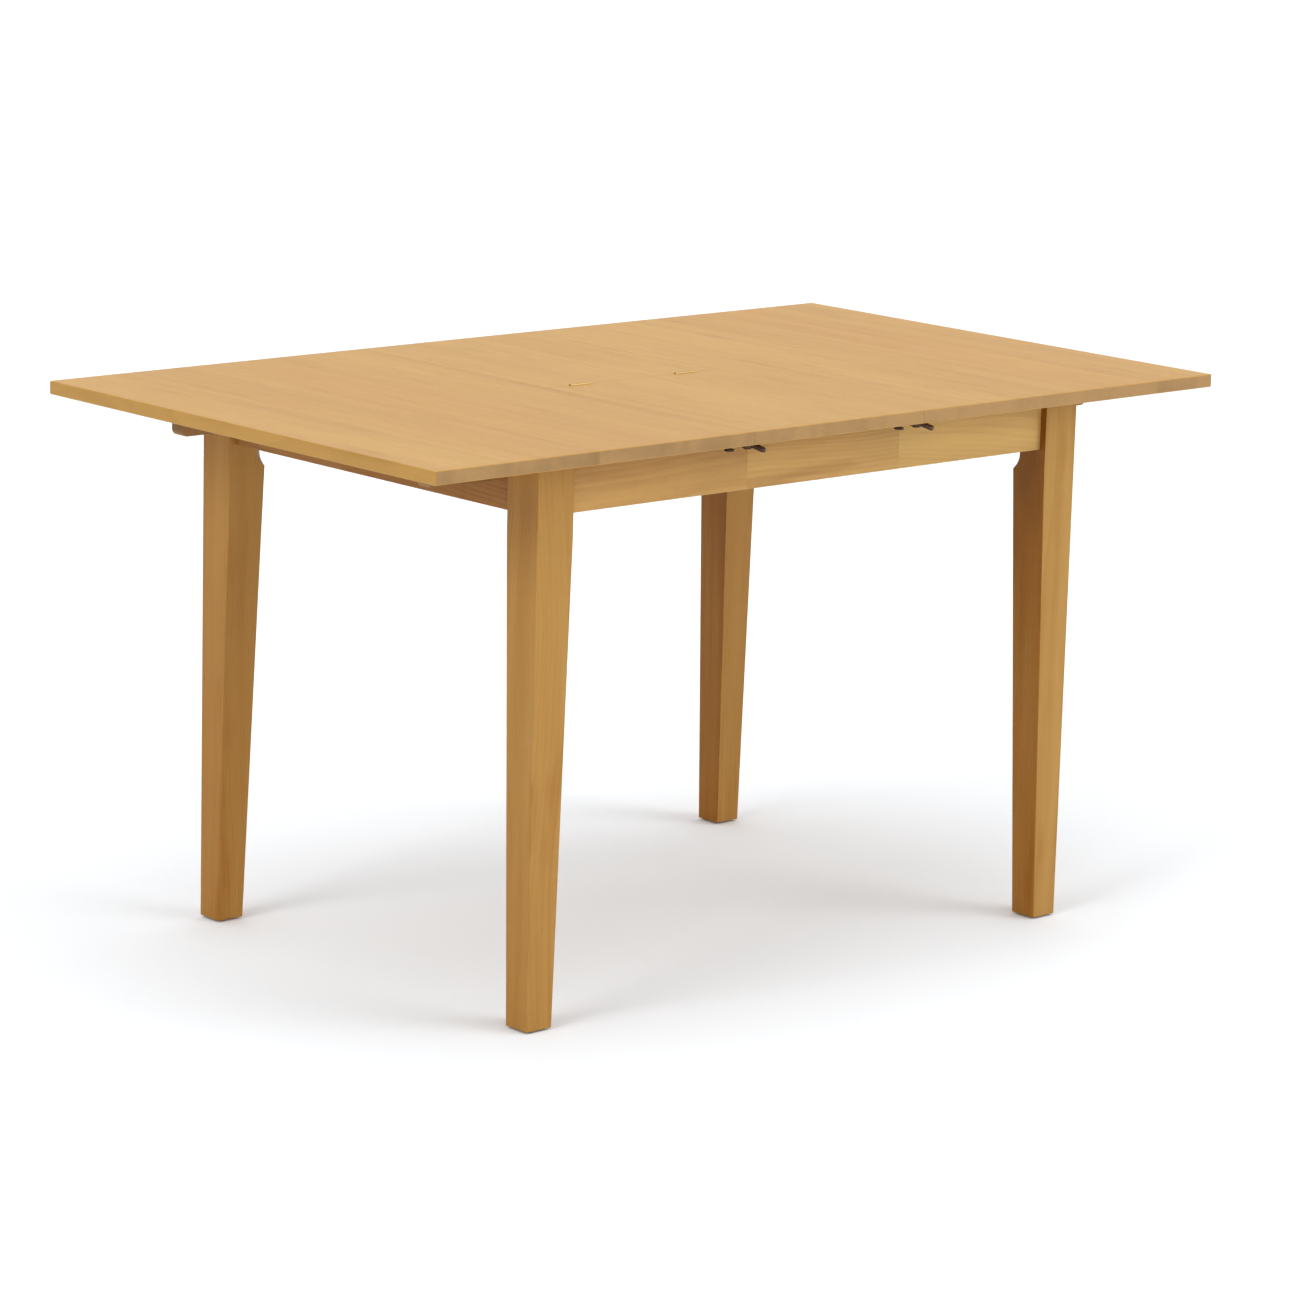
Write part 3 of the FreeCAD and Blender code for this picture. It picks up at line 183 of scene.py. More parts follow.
class Socket:
    """An output in a material's nodes. Arithmetic on it adds Math nodes."""

    def __init__(self, nodes, output):
        self.nodes = nodes
        self.output = output

    def out(self, name):
        """Another output of the same node."""
        return Socket(self.nodes, self.output.node.outputs[name])

    def parts(self):
        """Its three numbers, as three sockets."""
        split = self.nodes.node("ShaderNodeSeparateXYZ", {}, {"Vector": self})
        return split.out("X"), split.out("Y"), split.out("Z")

    def maths(self, operation, *terms):
        """The result of a Math node on these terms."""
        return self.nodes.node("ShaderNodeMath", {"operation": operation}, dict(enumerate(terms)))

    def __add__(self, other):
        return self.maths("ADD", self, other)

    def __radd__(self, other):
        return self.maths("ADD", other, self)

    def __sub__(self, other):
        return self.maths("SUBTRACT", self, other)

    def __rsub__(self, other):
        return self.maths("SUBTRACT", other, self)

    def __mul__(self, other):
        return self.maths("MULTIPLY", self, other)

    def __rmul__(self, other):
        return self.maths("MULTIPLY", other, self)

    def __truediv__(self, other):
        return self.maths("DIVIDE", self, other)

    def __gt__(self, other):
        return self.maths("GREATER_THAN", self, other)

    def __abs__(self):
        return self.maths("ABSOLUTE", self)

    def fraction(self):
        return self.maths("FRACT", self)

    def whole(self):
        return self.maths("FLOOR", self)

    def root(self):
        return self.maths("SQRT", self)

    def ease(self, low, high):
        """0 below low and 1 above high, with a smooth rise between them."""
        return self.nodes.node("ShaderNodeMapRange", {"interpolation_type": "SMOOTHSTEP"},
                               {"Value": self, "From Min": low, "From Max": high})


class Nodes:
    """A node tree while its nodes are made."""

    def __init__(self, tree):
        self.tree = tree
        tree.nodes.clear()

    def node(self, kind, settings=None, values=None):
        """Adds a node, sets it up, gives its sockets their values or links, and gives its first output."""
        node = self.tree.nodes.new(kind)
        for name, setting in (settings or {}).items():
            if name == "stops":
                self.set_stops(node.color_ramp, setting)
            else:
                setattr(node, name, setting)
        for name, value in (values or {}).items():
            if isinstance(name, int):
                socket = node.inputs[name]
            else:
                socket = next(s for s in node.inputs if s.name == name and s.enabled)
            if isinstance(value, Socket):
                self.tree.links.new(value.output, socket)
            elif socket.type == "RGBA":
                socket.default_value = (*value, 1)
            else:
                socket.default_value = value
        shown = [s for s in node.outputs if s.enabled]
        return Socket(self, shown[0]) if shown else None

    def set_stops(self, ramp, stops):
        """Gives a ramp its stops, each a place and a colour."""
        while len(ramp.elements) < len(stops):
            ramp.elements.new(1)
        for element, (place, colour) in zip(ramp.elements, stops):
            element.position = place
            element.color = (*colour, 1)


class Finish(Nodes):
    """A material while its nodes are made."""

    def __init__(self, name):
        self.material = bpy.data.materials.new(name)
        self.material.use_nodes = True
        super().__init__(self.material.node_tree)
        coordinates = self.node("ShaderNodeTexCoord")
        self.place = coordinates.out("Object")
        self.facing = coordinates.out("Normal")

    def vector(self, x, y, z):
        return self.node("ShaderNodeCombineXYZ", {}, {"X": x, "Y": y, "Z": z})

    def noise(self, place, scale=1.0, detail=2.0, roughness=0.5):
        """Smooth noise from 0 to 1 at a place."""
        return self.node("ShaderNodeTexNoise", {}, {"Vector": place, "Scale": scale, "Detail": detail,
                                                     "Roughness": roughness})

    def drift(self, place):
        """Smooth noise from 0 to 1 along one number."""
        return self.node("ShaderNodeTexNoise", {"noise_dimensions": "1D"}, {"W": place, "Scale": 1.0,
                                                                             "Detail": 1.0})

    def chance(self, number):
        """Three numbers from 0 to 1 that are unlike for each whole number."""
        dice = self.node("ShaderNodeTexWhiteNoise", {"noise_dimensions": "1D"}, {"W": number})
        return dice.out("Color").parts()

    def steps(self, number, colours):
        """The colour of each whole number, from 0 up."""
        stops = [(i / len(colours), colour) for i, colour in enumerate(colours)]
        ramp = self.node("ShaderNodeValToRGB", {"stops": stops}, {"Fac": (number + 0.5) / len(colours)})
        ramp.output.node.color_ramp.interpolation = "CONSTANT"
        return ramp

    def blend(self, factor, first, second, kind="MIX"):
        """Colours mixed by a factor."""
        return self.node("ShaderNodeMix", {"data_type": "RGBA", "blend_type": kind, "clamp_factor": True},
                         {"Factor": factor, "A": first, "B": second})

    def bump(self, height, depth, strength):
        return self.node("ShaderNodeBump", {}, {"Strength": strength, "Distance": depth, "Height": height})

    def done(self, values):
        """Puts the surface together and gives the material."""
        surface = self.node("ShaderNodeBsdfPrincipled", {}, values)
        self.node("ShaderNodeOutputMaterial", {}, {"Surface": surface})
        return self.material


# ---------------------------------------------------------------- finishes


# how far the piths, the middles of the growth rings, spread across the boards and wander along each, and how
# near and far below a board's middle they lie
PITH_SPREAD, PITH_WANDER = 0.14, 0.09
PITH_NEAR, PITH_FAR = 0.03, 0.1

# what a wood's colour is multiplied by at a redness of 1, and at a depth of 2, deep in painted shade
REDDER = 1.0, 0.84, 0.74
DARKER_IN_PAINTED_SHADE = 0.4, 0.35, 0.3


def dimmed(colour, share):
    """A colour at a share of its strength."""
    return [share * part for part in colour]


def count(place, joints):
    """The number of the board that a place is in, from 0, where one ends at each joint."""
    return sum(place > joint for joint in joints)


def quarter(x, y):
    """The number of a place's quarter of the table, from 0 at the front left to 3 at the back right."""
    return (x > 0) + 2 * (y > 0)


def wood(name, pale, deep, settings, lay, tones, seed, bare=0.0, gloss=0.25, painted_shade=None):
    """Wood in boards.

    A depth goes from the pale colour at 0 to the deep one at 1, and past 1, where painted shade takes it, the
    deep colour darkens.

    lay takes the three numbers of a place and gives how far it is along the grain, across the board and
    through it from its middle, and the board's number. tones holds a depth, a redness and an end grain's
    depth for each board. seed makes the grain unlike that of other woods. bare is how far the surface is from
    lacquered to sanded, and gloss is its specular level. The last argument takes a place's length and height
    and how far the surface faces along the table, and gives a depth to add: painted shade on the wood.
    """
    finish = Finish(name)
    x, y, z = finish.place.parts()
    along, across, through, number = lay(x, y, z)
    first, second, third = finish.chance(number + seed)
    tone, red, end_depth = finish.steps(number, tones).parts()

    # a surface shows end grain where it faces along the grain
    nx, ny, nz = finish.facing.parts()
    cut = abs(lay(nx, ny, nz)[0]).ease(0.7, 0.95)

    # growth rings round the pith
    wander = finish.drift(along * 1.4 + number * 7.3 + seed)
    side = across - (first - 0.5) * PITH_SPREAD - (wander - 0.5) * PITH_WANDER
    below = through + PITH_NEAR + second * (PITH_FAR - PITH_NEAR)
    swell = finish.noise(finish.vector(across * 16, along * 2.2, through * 16 + number * 3.7))
    turns = ((side * side + below * below).root() + (swell - 0.5) * 0.011) / settings.ring_gap
    phase = turns.fraction()
    ring = phase.ease(0.25, 0.9) * (1 - phase.ease(0.93, 1.0))
    year = finish.chance(turns.whole() + seed)[0]

    # fibres, pores and the broader streaks, clouds and dashes between them are drawn out along the grain, and
    # the factors are roughly their number in a metre
    fibre = finish.noise(finish.vector(across * 800, along * 12, through * 800), roughness=0.6)
    pore = finish.noise(finish.vector(across * 1500, along * 55, through * 1500), detail=1.0).ease(0.62, 0.74)
    streak = finish.noise(finish.vector(across * 38 + number * 5.1, along * 1.3, through * 38), detail=3.0,
                          roughness=0.55)
    cloud = finish.noise(finish.vector(across * 7, along * 3.5, through * 7 + third * 9))
    dash = finish.noise(finish.vector(across * 30 + number * 2.3, along * 5, through * 30)).ease(0.56, 0.78)

    grain = (ring * (0.35 + 0.65 * year) * 0.34 + (fibre - 0.5) * 0.45 + pore * 0.35
             + (streak - 0.5) * 1.5 + (cloud - 0.5) * 0.55 + dash * 0.5)
    depth = tone + grain * settings.contrast
    # painted shade: a depth added on the faces where shade falls
    if painted_shade:
        depth = depth + painted_shade(x, z, nx)
    colour = finish.blend(depth, pale, deep)
    # past a depth of 1, which the painted shade reaches on some faces, the colour darkens further as deeper
    # painted shade
    colour = finish.blend(depth - 1, colour, DARKER_IN_PAINTED_SHADE, "MULTIPLY")
    colour = finish.blend(red, colour, REDDER, "MULTIPLY")
    cut_depth = end_depth + ring * 0.08 + pore * 0.2 + (streak - 0.5) * 0.9 + (cloud - 0.5) * 0.8
    cut_colour = finish.blend(cut_depth, settings.end_grain, dimmed(settings.end_grain, 0.55))
    height = (fibre * (0.35 + 0.5 * bare) - pore * 0.9 - ring * 0.15) * (1 - cut * 0.7)
    return finish.done({
        "Base Color": finish.blend(cut, colour, cut_colour),
        "Roughness": settings.lacquer + 0.25 * bare + (fibre - 0.5) * 0.14 + pore * 0.15 + cut * 0.12,
        "Normal": finish.bump(height, 0.00012, 0.5),
        "Specular IOR Level": gloss,
    })


def metal(name, plain, worn, roughness, spread):
    """Metal with fine tool marks, worn in patches."""
    finish = Finish(name)
    patch = finish.noise(finish.place, 90, 3.0, 0.6)
    fine = finish.noise(finish.place, 900, 2.0, 0.6)
    wear = (patch * 0.75 + fine * 0.25).ease(0.5, 0.72) * spread
    return finish.done({
        "Base Color": finish.blend(wear, plain, worn),
        "Metallic": 1.0,
        "Roughness": roughness + (fine - 0.5) * 0.18 - wear * 0.08,
        "Normal": finish.bump(fine, 0.00006, 0.4),
    })


def zinc(name, plain):
    """Bright zinc plating, with the faint spangle that it has on steel."""
    finish = Finish(name)
    spangle = finish.node("ShaderNodeTexVoronoi", {"feature": "F1"}, {"Vector": finish.place, "Scale": 420.0})
    tint, dullness, _ = spangle.out("Color").parts()
    haze = finish.noise(finish.place, 60, 3.0)
    return finish.done({
        "Base Color": finish.blend(tint * 0.22 + haze * 0.35, plain, dimmed(plain, 0.72)),
        "Metallic": 1.0,
        "Roughness": 0.3 + dullness * 0.12 + haze * 0.12,
        "Normal": finish.bump(finish.noise(finish.place, 1400), 0.00003, 0.35),
    })


def felt(name, colour):
    """Pressed wool felt."""
    finish = Finish(name)
    fuzz = finish.noise(finish.place, 2600, 4.0, 0.7)
    mottle = finish.noise(finish.place, 300)
    return finish.done({
        "Base Color": finish.blend(fuzz * 0.6 + mottle * 0.4, colour, dimmed(colour, 0.6)),
        "Roughness": 0.95,
        "Sheen Weight": 0.4,
        "Sheen Roughness": 0.5,
        "Specular IOR Level": 0.1,
        "Normal": finish.bump(fuzz, 0.0004, 0.9),
    })


def nylon(name, colour):
    """Moulded nylon with scuffs and a little grime."""
    finish = Finish(name)
    scuff = finish.noise(finish.place, 350, 4.0, 0.65)
    grime = scuff.ease(0.5, 0.75)
    return finish.done({
        "Base Color": finish.blend(grime * 0.35, colour, dimmed(colour, 0.5)),
        "Roughness": 0.5 + scuff * 0.25,
        "Subsurface Weight": 0.1,
        "Subsurface Scale": 0.002,
        "Normal": finish.bump(scuff, 0.0001, 0.5),
    })


def paint(material, *names):
    """Gives CAD nodes a material, in their objects' slots."""
    for name in names:
        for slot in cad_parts[name].material_slots:
            slot.link = "OBJECT"
            slot.material = material


# ---------------------------------------------------------------- fasteners


SHARP_EDGE = math.radians(35)


def solids(name):
    """The corners of each separate solid of a CAD node."""
    shape = bmesh.new()
    shape.from_mesh(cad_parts[name].data)
    bmesh.ops.remove_doubles(shape, verts=shape.verts, dist=1e-6)
    found, left = [], set(shape.verts)
    while left:
        solid, reached = [], [left.pop()]
        while reached:
            corner = reached.pop()
            solid.append(corner.co.copy())
            for neighbour in (link.other_vert(corner) for link in corner.link_edges):
                if neighbour in left:
                    left.remove(neighbour)
                    reached.append(neighbour)
        found.append(solid)
    shape.free()
    return sorted(found, key=lambda solid: tuple(round(part, 4) for part in solid_middle(solid)))


def solid_middle(solid):
    """The middle of a solid's box."""
    return Vector((min(p[i] for p in solid) + max(p[i] for p in solid)) / 2 for i in range(3))


def screw_seat(solid):
    """The middle of a screw's crown and the way it faces, its length, and its head's radius."""
    size = [max(p[i] for p in solid) - min(p[i] for p in solid) for i in range(3)]
    way = size.index(max(size))
    middle = solid_middle(solid)
    distances = [math.hypot(*(p[i] - middle[i] for i in range(3) if i != way)) for p in solid]
    radius = max(distances)
    rim = [p[way] for p, distance in zip(solid, distances) if distance > 0.95 * radius]
    facing = Vector((0, 0, 0))
    facing[way] = math.copysign(1, sum(rim) / len(rim) - middle[way])
    return middle + facing * size[way] / 2, facing, size[way], radius


def stand(shape, crown, facing, turn=0.0):
    """Moves a shape from its own frame, crown at the origin and facing up, to its seat."""
    to_seat = Matrix.Translation(crown) @ facing.to_track_quat("Z", "Y").to_matrix().to_4x4()
    bmesh.ops.transform(shape, matrix=to_seat @ Matrix.Rotation(turn, 4, "Z"), verts=shape.verts)


def rings(shape, loop, places):
    """Extrudes an open edge loop through rings, each a radius and a height, and gives the last loop."""
    radius = max(v.co.xy.length for e in loop for v in e.verts)
    height = loop[0].verts[0].co.z
    for new_radius, new_height in places:
        grown = bmesh.ops.extrude_edge_only(shape, edges=loop)["geom"]
        corners = [part for part in grown if isinstance(part, bmesh.types.BMVert)]
        share = new_radius / radius
        bmesh.ops.scale(shape, vec=(share, share, 1), verts=corners)
        bmesh.ops.translate(shape, vec=(0, 0, new_height - height), verts=corners)
        loop = [part for part in grown if isinstance(part, bmesh.types.BMEdge)]
        radius, height = new_radius, new_height
    return loop


def thread(shape, core, outside, top, bottom, pitch, steps=10):
    """Winds a thread's ridge round a shank, in so many steps a turn, with its foot just inside the core."""
    foot = core * 0.96
    ridge_height = pitch * 0.7
    places = (foot, 0, top), (outside, 0, top - ridge_height / 2), (foot, 0, top - ridge_height)
    corners = [shape.verts.new(place) for place in places]
    ridge = [shape.edges.new((corners[i], corners[(i + 1) % 3])) for i in range(3)]
    all_steps = max(steps, round((top - bottom - ridge_height) / pitch * steps))
    bmesh.ops.spin(shape, geom=corners + ridge, cent=(0, 0, 0), axis=(0, 0, 1), dvec=(0, 0, -pitch / steps),
                   angle=all_steps / steps * 2 * math.pi, steps=all_steps, use_merge=False)
    bmesh.ops.holes_fill(shape, edges=[e for e in shape.edges if e.is_boundary], sides=3)


def wood_screw(radius, head, shank, length, pitch, recess):
    """A round-headed wood screw with a cross recess. Its crown is at the origin and it points down."""
    shape = bmesh.new()
    half = radius * recess
    cells = 6
    cell = 2 * half / cells
    bmesh.ops.create_grid(shape, x_segments=cells, y_segments=cells, size=half)

    # the lines beside the middle ones close in, for the narrow arms of a cross
    for axis in range(2):
        arm = [v for v in shape.verts if abs(abs(v.co[axis]) - cell) < cell * 0.3]
        bmesh.ops.scale(shape, vec=[0.62 if i == axis else 1 for i in range(3)], verts=arm)

    # the cells of the cross are sunk to a smaller floor
    cross = []
    for face in shape.faces:
        u, v = (abs(part) for part in face.calc_center_median().xy)
        if min(u, v) < cell * 0.6 and max(u, v) < cell * 2:
            cross.append(face)
    sunk = bmesh.ops.extrude_face_region(shape, geom=cross)["geom"]
    floor = [part for part in sunk if isinstance(part, bmesh.types.BMVert)]
    bmesh.ops.delete(shape, geom=[face for face in cross if face.is_valid], context="FACES")
    bmesh.ops.translate(shape, vec=(0, 0, -head * 0.75), verts=floor)
    bmesh.ops.scale(shape, vec=(0.45, 0.45, 1), verts=floor)

    # the square round the cross runs out to a circle, and on over the head's rim and down the shank
    edge = [e for e in shape.edges if e.is_boundary]
    ring = bmesh.ops.create_circle(shape, segments=24, radius=radius * 0.78)["verts"]
    bmesh.ops.translate(shape, vec=(0, 0, -head * 0.08), verts=ring)
    circle = list({e for v in ring for e in v.link_edges})
    bmesh.ops.bridge_loops(shape, edges=edge + circle)
    core = shank * 0.72
    rim = [(radius * 0.93, -head * 0.28), (radius, -head * 0.6), (radius * 0.98, -head)]
    tip = rings(shape, circle, [*rim, (shank, -head), (core, -head * 1.5), (core, -length + shank * 1.6),
                                (shank * 0.12, -length)])
    bmesh.ops.edgeloop_fill(shape, edges=tip)
    thread(shape, core, shank, -head * 1.2, -length + shank, pitch)
    return shape


def finished(shape, node, material, body):
    """Makes a shape into a piece that rides on a body and stands for a CAD node."""
    bmesh.ops.recalc_face_normals(shape, faces=shape.faces)
    for face in shape.faces:
        face.smooth = True
    for edge in shape.edges:
        if edge.is_manifold and edge.calc_face_angle() > SHARP_EDGE:
            edge.smooth = False
    name = "detailed_" + node
    mesh = bpy.data.meshes.new(name)
    shape.to_mesh(mesh)
    shape.free()
    piece = bpy.data.objects.new(name, mesh)
    bpy.context.scene.collection.objects.link(piece)
    mesh.materials.append(material)
    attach(piece, body)
    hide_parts(node)


def join(whole, part):
    """Adds one shape to another."""
    mesh = bpy.data.meshes.new("part")
    part.to_mesh(mesh)
    part.free()
    whole.from_mesh(mesh)
    bpy.data.meshes.remove(mesh)


# ---------------------------------------------------------------- operators


class TABLE_OT_finish_top(bpy.types.Operator):
    """Finishes the two halves of the top and the leaf in staves across the table"""

    bl_idname = "table.finish_top"
    bl_label = "Finish the top"

    # the boards' middle height, the joints between the staves, and each stave's tones
    middle_height = 0.753
    joints = [-0.568, -0.436, -0.304, -0.1725, -0.071, 0.031, 0.1325, 0.246, 0.3595, 0.473, 0.5865]
    tones = [(0.17, 0.08, 0.3), (0.25, 0.15, 0.35), (0.22, 0.20, 0.3), (0.25, 0.10, 0.25), (0.24, 0.05, 0.2),
             (0.16, 0.0, 0.15), (0.20, 0.08, 0.0), (0.24, 0.04, 0.0), (0.19, 0.08, 0.0), (0.22, 0.15, 0.0),
             (0.22, 0.35, 0.05), (0.20, 0.15, 0.1)]

    def execute(self, context):
        settings = context.scene.table_wood
        paint(wood("honey_top", settings.top_pale, settings.top_deep, settings, self.staves, self.tones, 3.0,
                   painted_shade=self.painted_shade),
              "top_left", "top_right", "leaf_front", "leaf_back")
        return {"FINISHED"}

    def staves(self, x, y, z):
        """Staves across the table, numbered from the left."""
        return y, x, z - self.middle_height, count(x, self.joints)

    def painted_shade(self, x, z, nx):
        """Painted shade: deeper on the table's end faces."""
        return abs(nx) * 0.22


class TABLE_OT_finish_frame(bpy.types.Operator):
    """Finishes the legs and aprons"""

    bl_idname = "table.finish_frame"
    bl_label = "Finish the legs and aprons"

    # the middles of the aprons and of the legs' heads
    apron_height, long_apron_y, end_apron_x = 0.707, 0.331, 0.467
    leg_x, leg_y = 0.457, 0.321

    long_apron_joints = [-0.122, 0.154]
    long_apron_tones = [(0.26, 0.40, 0.2), (0.22, 0.20, 0.2), (0.05, 0.0, 0.2), (0.2, 0.1, 0.2),
                        (0.15, 0.2, 0.2), (0.25, 0.0, 0.2)]
    end_apron_joints = [0.06]
    # the end aprons' boards get deep tones, which paint the shade under the top's overhang at the ends
    end_apron_shaded_tones = [(0.84, 0.6, 0.2), (0.78, 0.55, 0.2), (0.65, 0.4, 0.2), (0.70, 0.4, 0.2)]
    leg_tones = [(0.22, 0.10, 0.2), (0.14, 0.0, 0.2), (0.26, 0.15, 0.2), (0.22, 0.05, 0.2)]

    def execute(self, context):
        settings = context.scene.table_wood
        apron_colours = settings.apron_pale, settings.apron_deep
        paint(wood("honey_long_aprons", *apron_colours, settings, self.long_boards, self.long_apron_tones,
                   11.0, painted_shade=self.long_apron_painted_shadow),
              "apron_front", "apron_back")
        paint(wood("honey_end_aprons", *apron_colours, settings, self.end_boards, self.end_apron_shaded_tones, 23.0,
                   gloss=0.15, painted_shade=self.end_apron_painted_shadow),
              "apron_left", "apron_right")
        paint(wood("honey_legs", settings.leg_pale, settings.leg_deep, settings, self.leg_boards,
                   self.leg_tones, 41.0, gloss=0.2, painted_shade=self.leg_painted_shade),
              "leg_front_left", "leg_front_right", "leg_back_left", "leg_back_right")
        return {"FINISHED"}

    def long_boards(self, x, y, z):
        """Three boards from left to right in the front apron, and three more in the back one."""
        return (x, z - self.apron_height, abs(y) - self.long_apron_y,
                count(x, self.long_apron_joints) + 3 * (y > 0))

    def long_apron_painted_shadow(self, x, z, nx):
        """Painted shadow of the top: deeper towards the top."""
        return z.ease(0.70, 0.743) * 0.12

    def end_boards(self, x, y, z):
        """Two boards from front to back in the left apron, and two more in the right one."""
        return (y, z - self.apron_height, abs(x) - self.end_apron_x,
                count(y, self.end_apron_joints) + 2 * (x > 0))

    def end_apron_painted_shadow(self, x, z, nx):
        """Painted shadow of the top's overhang: deeper towards the top."""
        return z.ease(0.705, 0.745) * 0.25

    def leg_boards(self, x, y, z):
        """A board for each leg."""
        return z, abs(x) - self.leg_x, abs(y) - self.leg_y, quarter(x, y)

    def leg_painted_shade(self, x, z, nx):
        """Painted shade: deeper on the faces that face along the table, most of all inwards and high up, and
        near the floor.
        """
        inner = (-1 * x * nx).ease(0.1, 0.3)
        end_face = abs(nx)
        return (inner * (z.ease(0.3, 0.7) + 1) * 0.45 + end_face * 0.12 + (1 - z.ease(0.1, 0.6)) * 0.1
                + z.ease(0.5, 0.7) * end_face * 0.12)


class TABLE_OT_finish_rails(bpy.types.Operator):
    """Finishes the rails, runners, leaf rests and pegs, which are sanded and left plain, and the felt pads"""

    bl_idname = "table.finish_rails"
    bl_label = "Finish the rails and runners"

    # the middles of the long rails and runners, and of the cross rails and leaf rests
    long_height, long_y = 0.724, 0.24
    cross_height, cross_x = 0.705, 0.17

    cross_joints = [-0.17, 0.0, 0.14]
    # the long rails' and runners' end grain is deep, as end grain is, and deeper still as painted shade for
    # the runners' ends under the top
    long_tones_and_end_shade = [(0.30, 0.2, 0.9), (0.2, 0.1, 0.9), (0.35, 0.2, 0.9), (0.25, 0.0, 0.9)]
    cross_tones = [(0.25, 0.1, 0.2), (0.15, 0.0, 0.2), (0.3, 0.1, 0.2), (0.2, 0.2, 0.2)]
    peg_tones = [(0.1, 0.0, 0.2), (0.2, 0.1, 0.2), (0.15, 0.0, 0.2), (0.1, 0.1, 0.2)]
    sanded = 0.6

    def execute(self, context):
        settings = context.scene.table_wood
        colours = settings.rail_pale, settings.rail_deep
        paint(wood("plain_long_rails", *colours, settings, self.long_boards, self.long_tones_and_end_shade, 57.0,
                   self.sanded),
              "guide_rail_front", "guide_rail_back",
              *[f"runner_{half}_{side}" for half in ("left", "right") for side in ("front", "back")])
        paint(wood("plain_cross_rails", *colours, settings, self.cross_boards, self.cross_tones, 71.0,
                   self.sanded),
              "cross_rail_left", "cross_rail_right", "leaf_rest_left", "leaf_rest_right")
        paint(wood("plain_pegs", *colours, settings, self.pegs, self.peg_tones, 83.0, self.sanded),
              "stop_pegs_left", "stop_pegs_right")
        paint(felt("wool_felt", context.scene.table_soft.felt), "slide_pads")
        return {"FINISHED"}

    def long_boards(self, x, y, z):
        """Boards along the table, one for each of its quarters."""
        return x, z - self.long_height, abs(y) - self.long_y, quarter(x, y)

    def cross_boards(self, x, y, z):
        """Boards across the table, numbered from the left."""
        return y, z - self.cross_height, abs(x) - self.cross_x, count(x, self.cross_joints)

    def pegs(self, x, y, z):
        """Upright pegs, numbered by quarters of the table."""
        return z, x, y, quarter(x, y)


class TABLE_OT_finish_metal(bpy.types.Operator):
    """Finishes the locks, the leaf's pivots and hinges, and the corner brackets"""

    bl_idname = "table.finish_metal"
    bl_label = "Finish the locks and hardware"

    def execute(self, context):
        metals = context.scene.table_metal
        locks = [f"lock_{part}_{side}_{half}" for part in ("base", "lever", "keeper")
                 for side in ("front", "back") for half in ("left", "right")]
        paint(metal("dark_bronze", metals.bronze, metals.rubbed, 0.42, 0.8), *locks)
        paint(metal("brass", metals.brass, dimmed(metals.brass, 0.6), 0.34, 0.5),
              "leaf_hinges_front", "leaf_hinges_back", "leaf_hinge_pins")
        paint(zinc("zinc_plate", metals.zinc), "corner_brackets", "pivot_plate_left", "pivot_plate_right",
              "pivot_arm_left", "pivot_arm_right")
        return {"FINISHED"}


class TABLE_OT_make_screws(bpy.types.Operator):
    """Makes the wood screws, with cross recesses and threads, in the places of the plain ones"""

    bl_idname = "table.make_screws"
    bl_label = "Make the wood screws"

    # the height of a screw's head and the radius of its shank
    small = 0.0019, 0.0016
    large = 0.003, 0.002

    turn_from_the_last = 2.4

    def execute(self, context):
        metals = context.scene.table_metal
        sizes = context.scene.table_fasteners
        plated = zinc("zinc_screws", metals.zinc)
        dark = metal("bronze_screws", metals.bronze, metals.rubbed, 0.4, 0.9)
        sets = [
            ("bracket_screws", "frame", self.small, plated, "zinc_steel"),
            ("pivot_plate_screws", "frame", self.small, plated, "zinc_steel"),
            ("pivot_arm_screws", "front_leaf", self.small, plated, "zinc_steel"),
            ("runner_screws_left", "left_half", self.large, plated, "zinc_steel"),
            ("runner_screws_right", "right_half", self.large, plated, "zinc_steel"),
            ("lock_screws_top_left", "left_half", self.small, dark, "dark_bronze"),
            ("lock_screws_top_right", "right_half", self.small, dark, "dark_bronze"),
            ("lock_screws_leaf_front", "front_leaf", self.small, dark, "dark_bronze"),
            ("lock_screws_leaf_back", "back_leaf", self.small, dark, "dark_bronze"),
        ]
        for node, body, (head, shank), material, slot in sets:
            whole = bmesh.new()
            for i, solid in enumerate(solids(node)):
                crown, facing, length, radius = screw_seat(solid)
                screw = wood_screw(radius, head, shank, length, sizes.screw_pitch, sizes.recess_reach)
                stand(screw, crown, facing, self.turn_from_the_last * i)
                join(whole, screw)
            finished(whole, node, material, body)
        return {"FINISHED"}


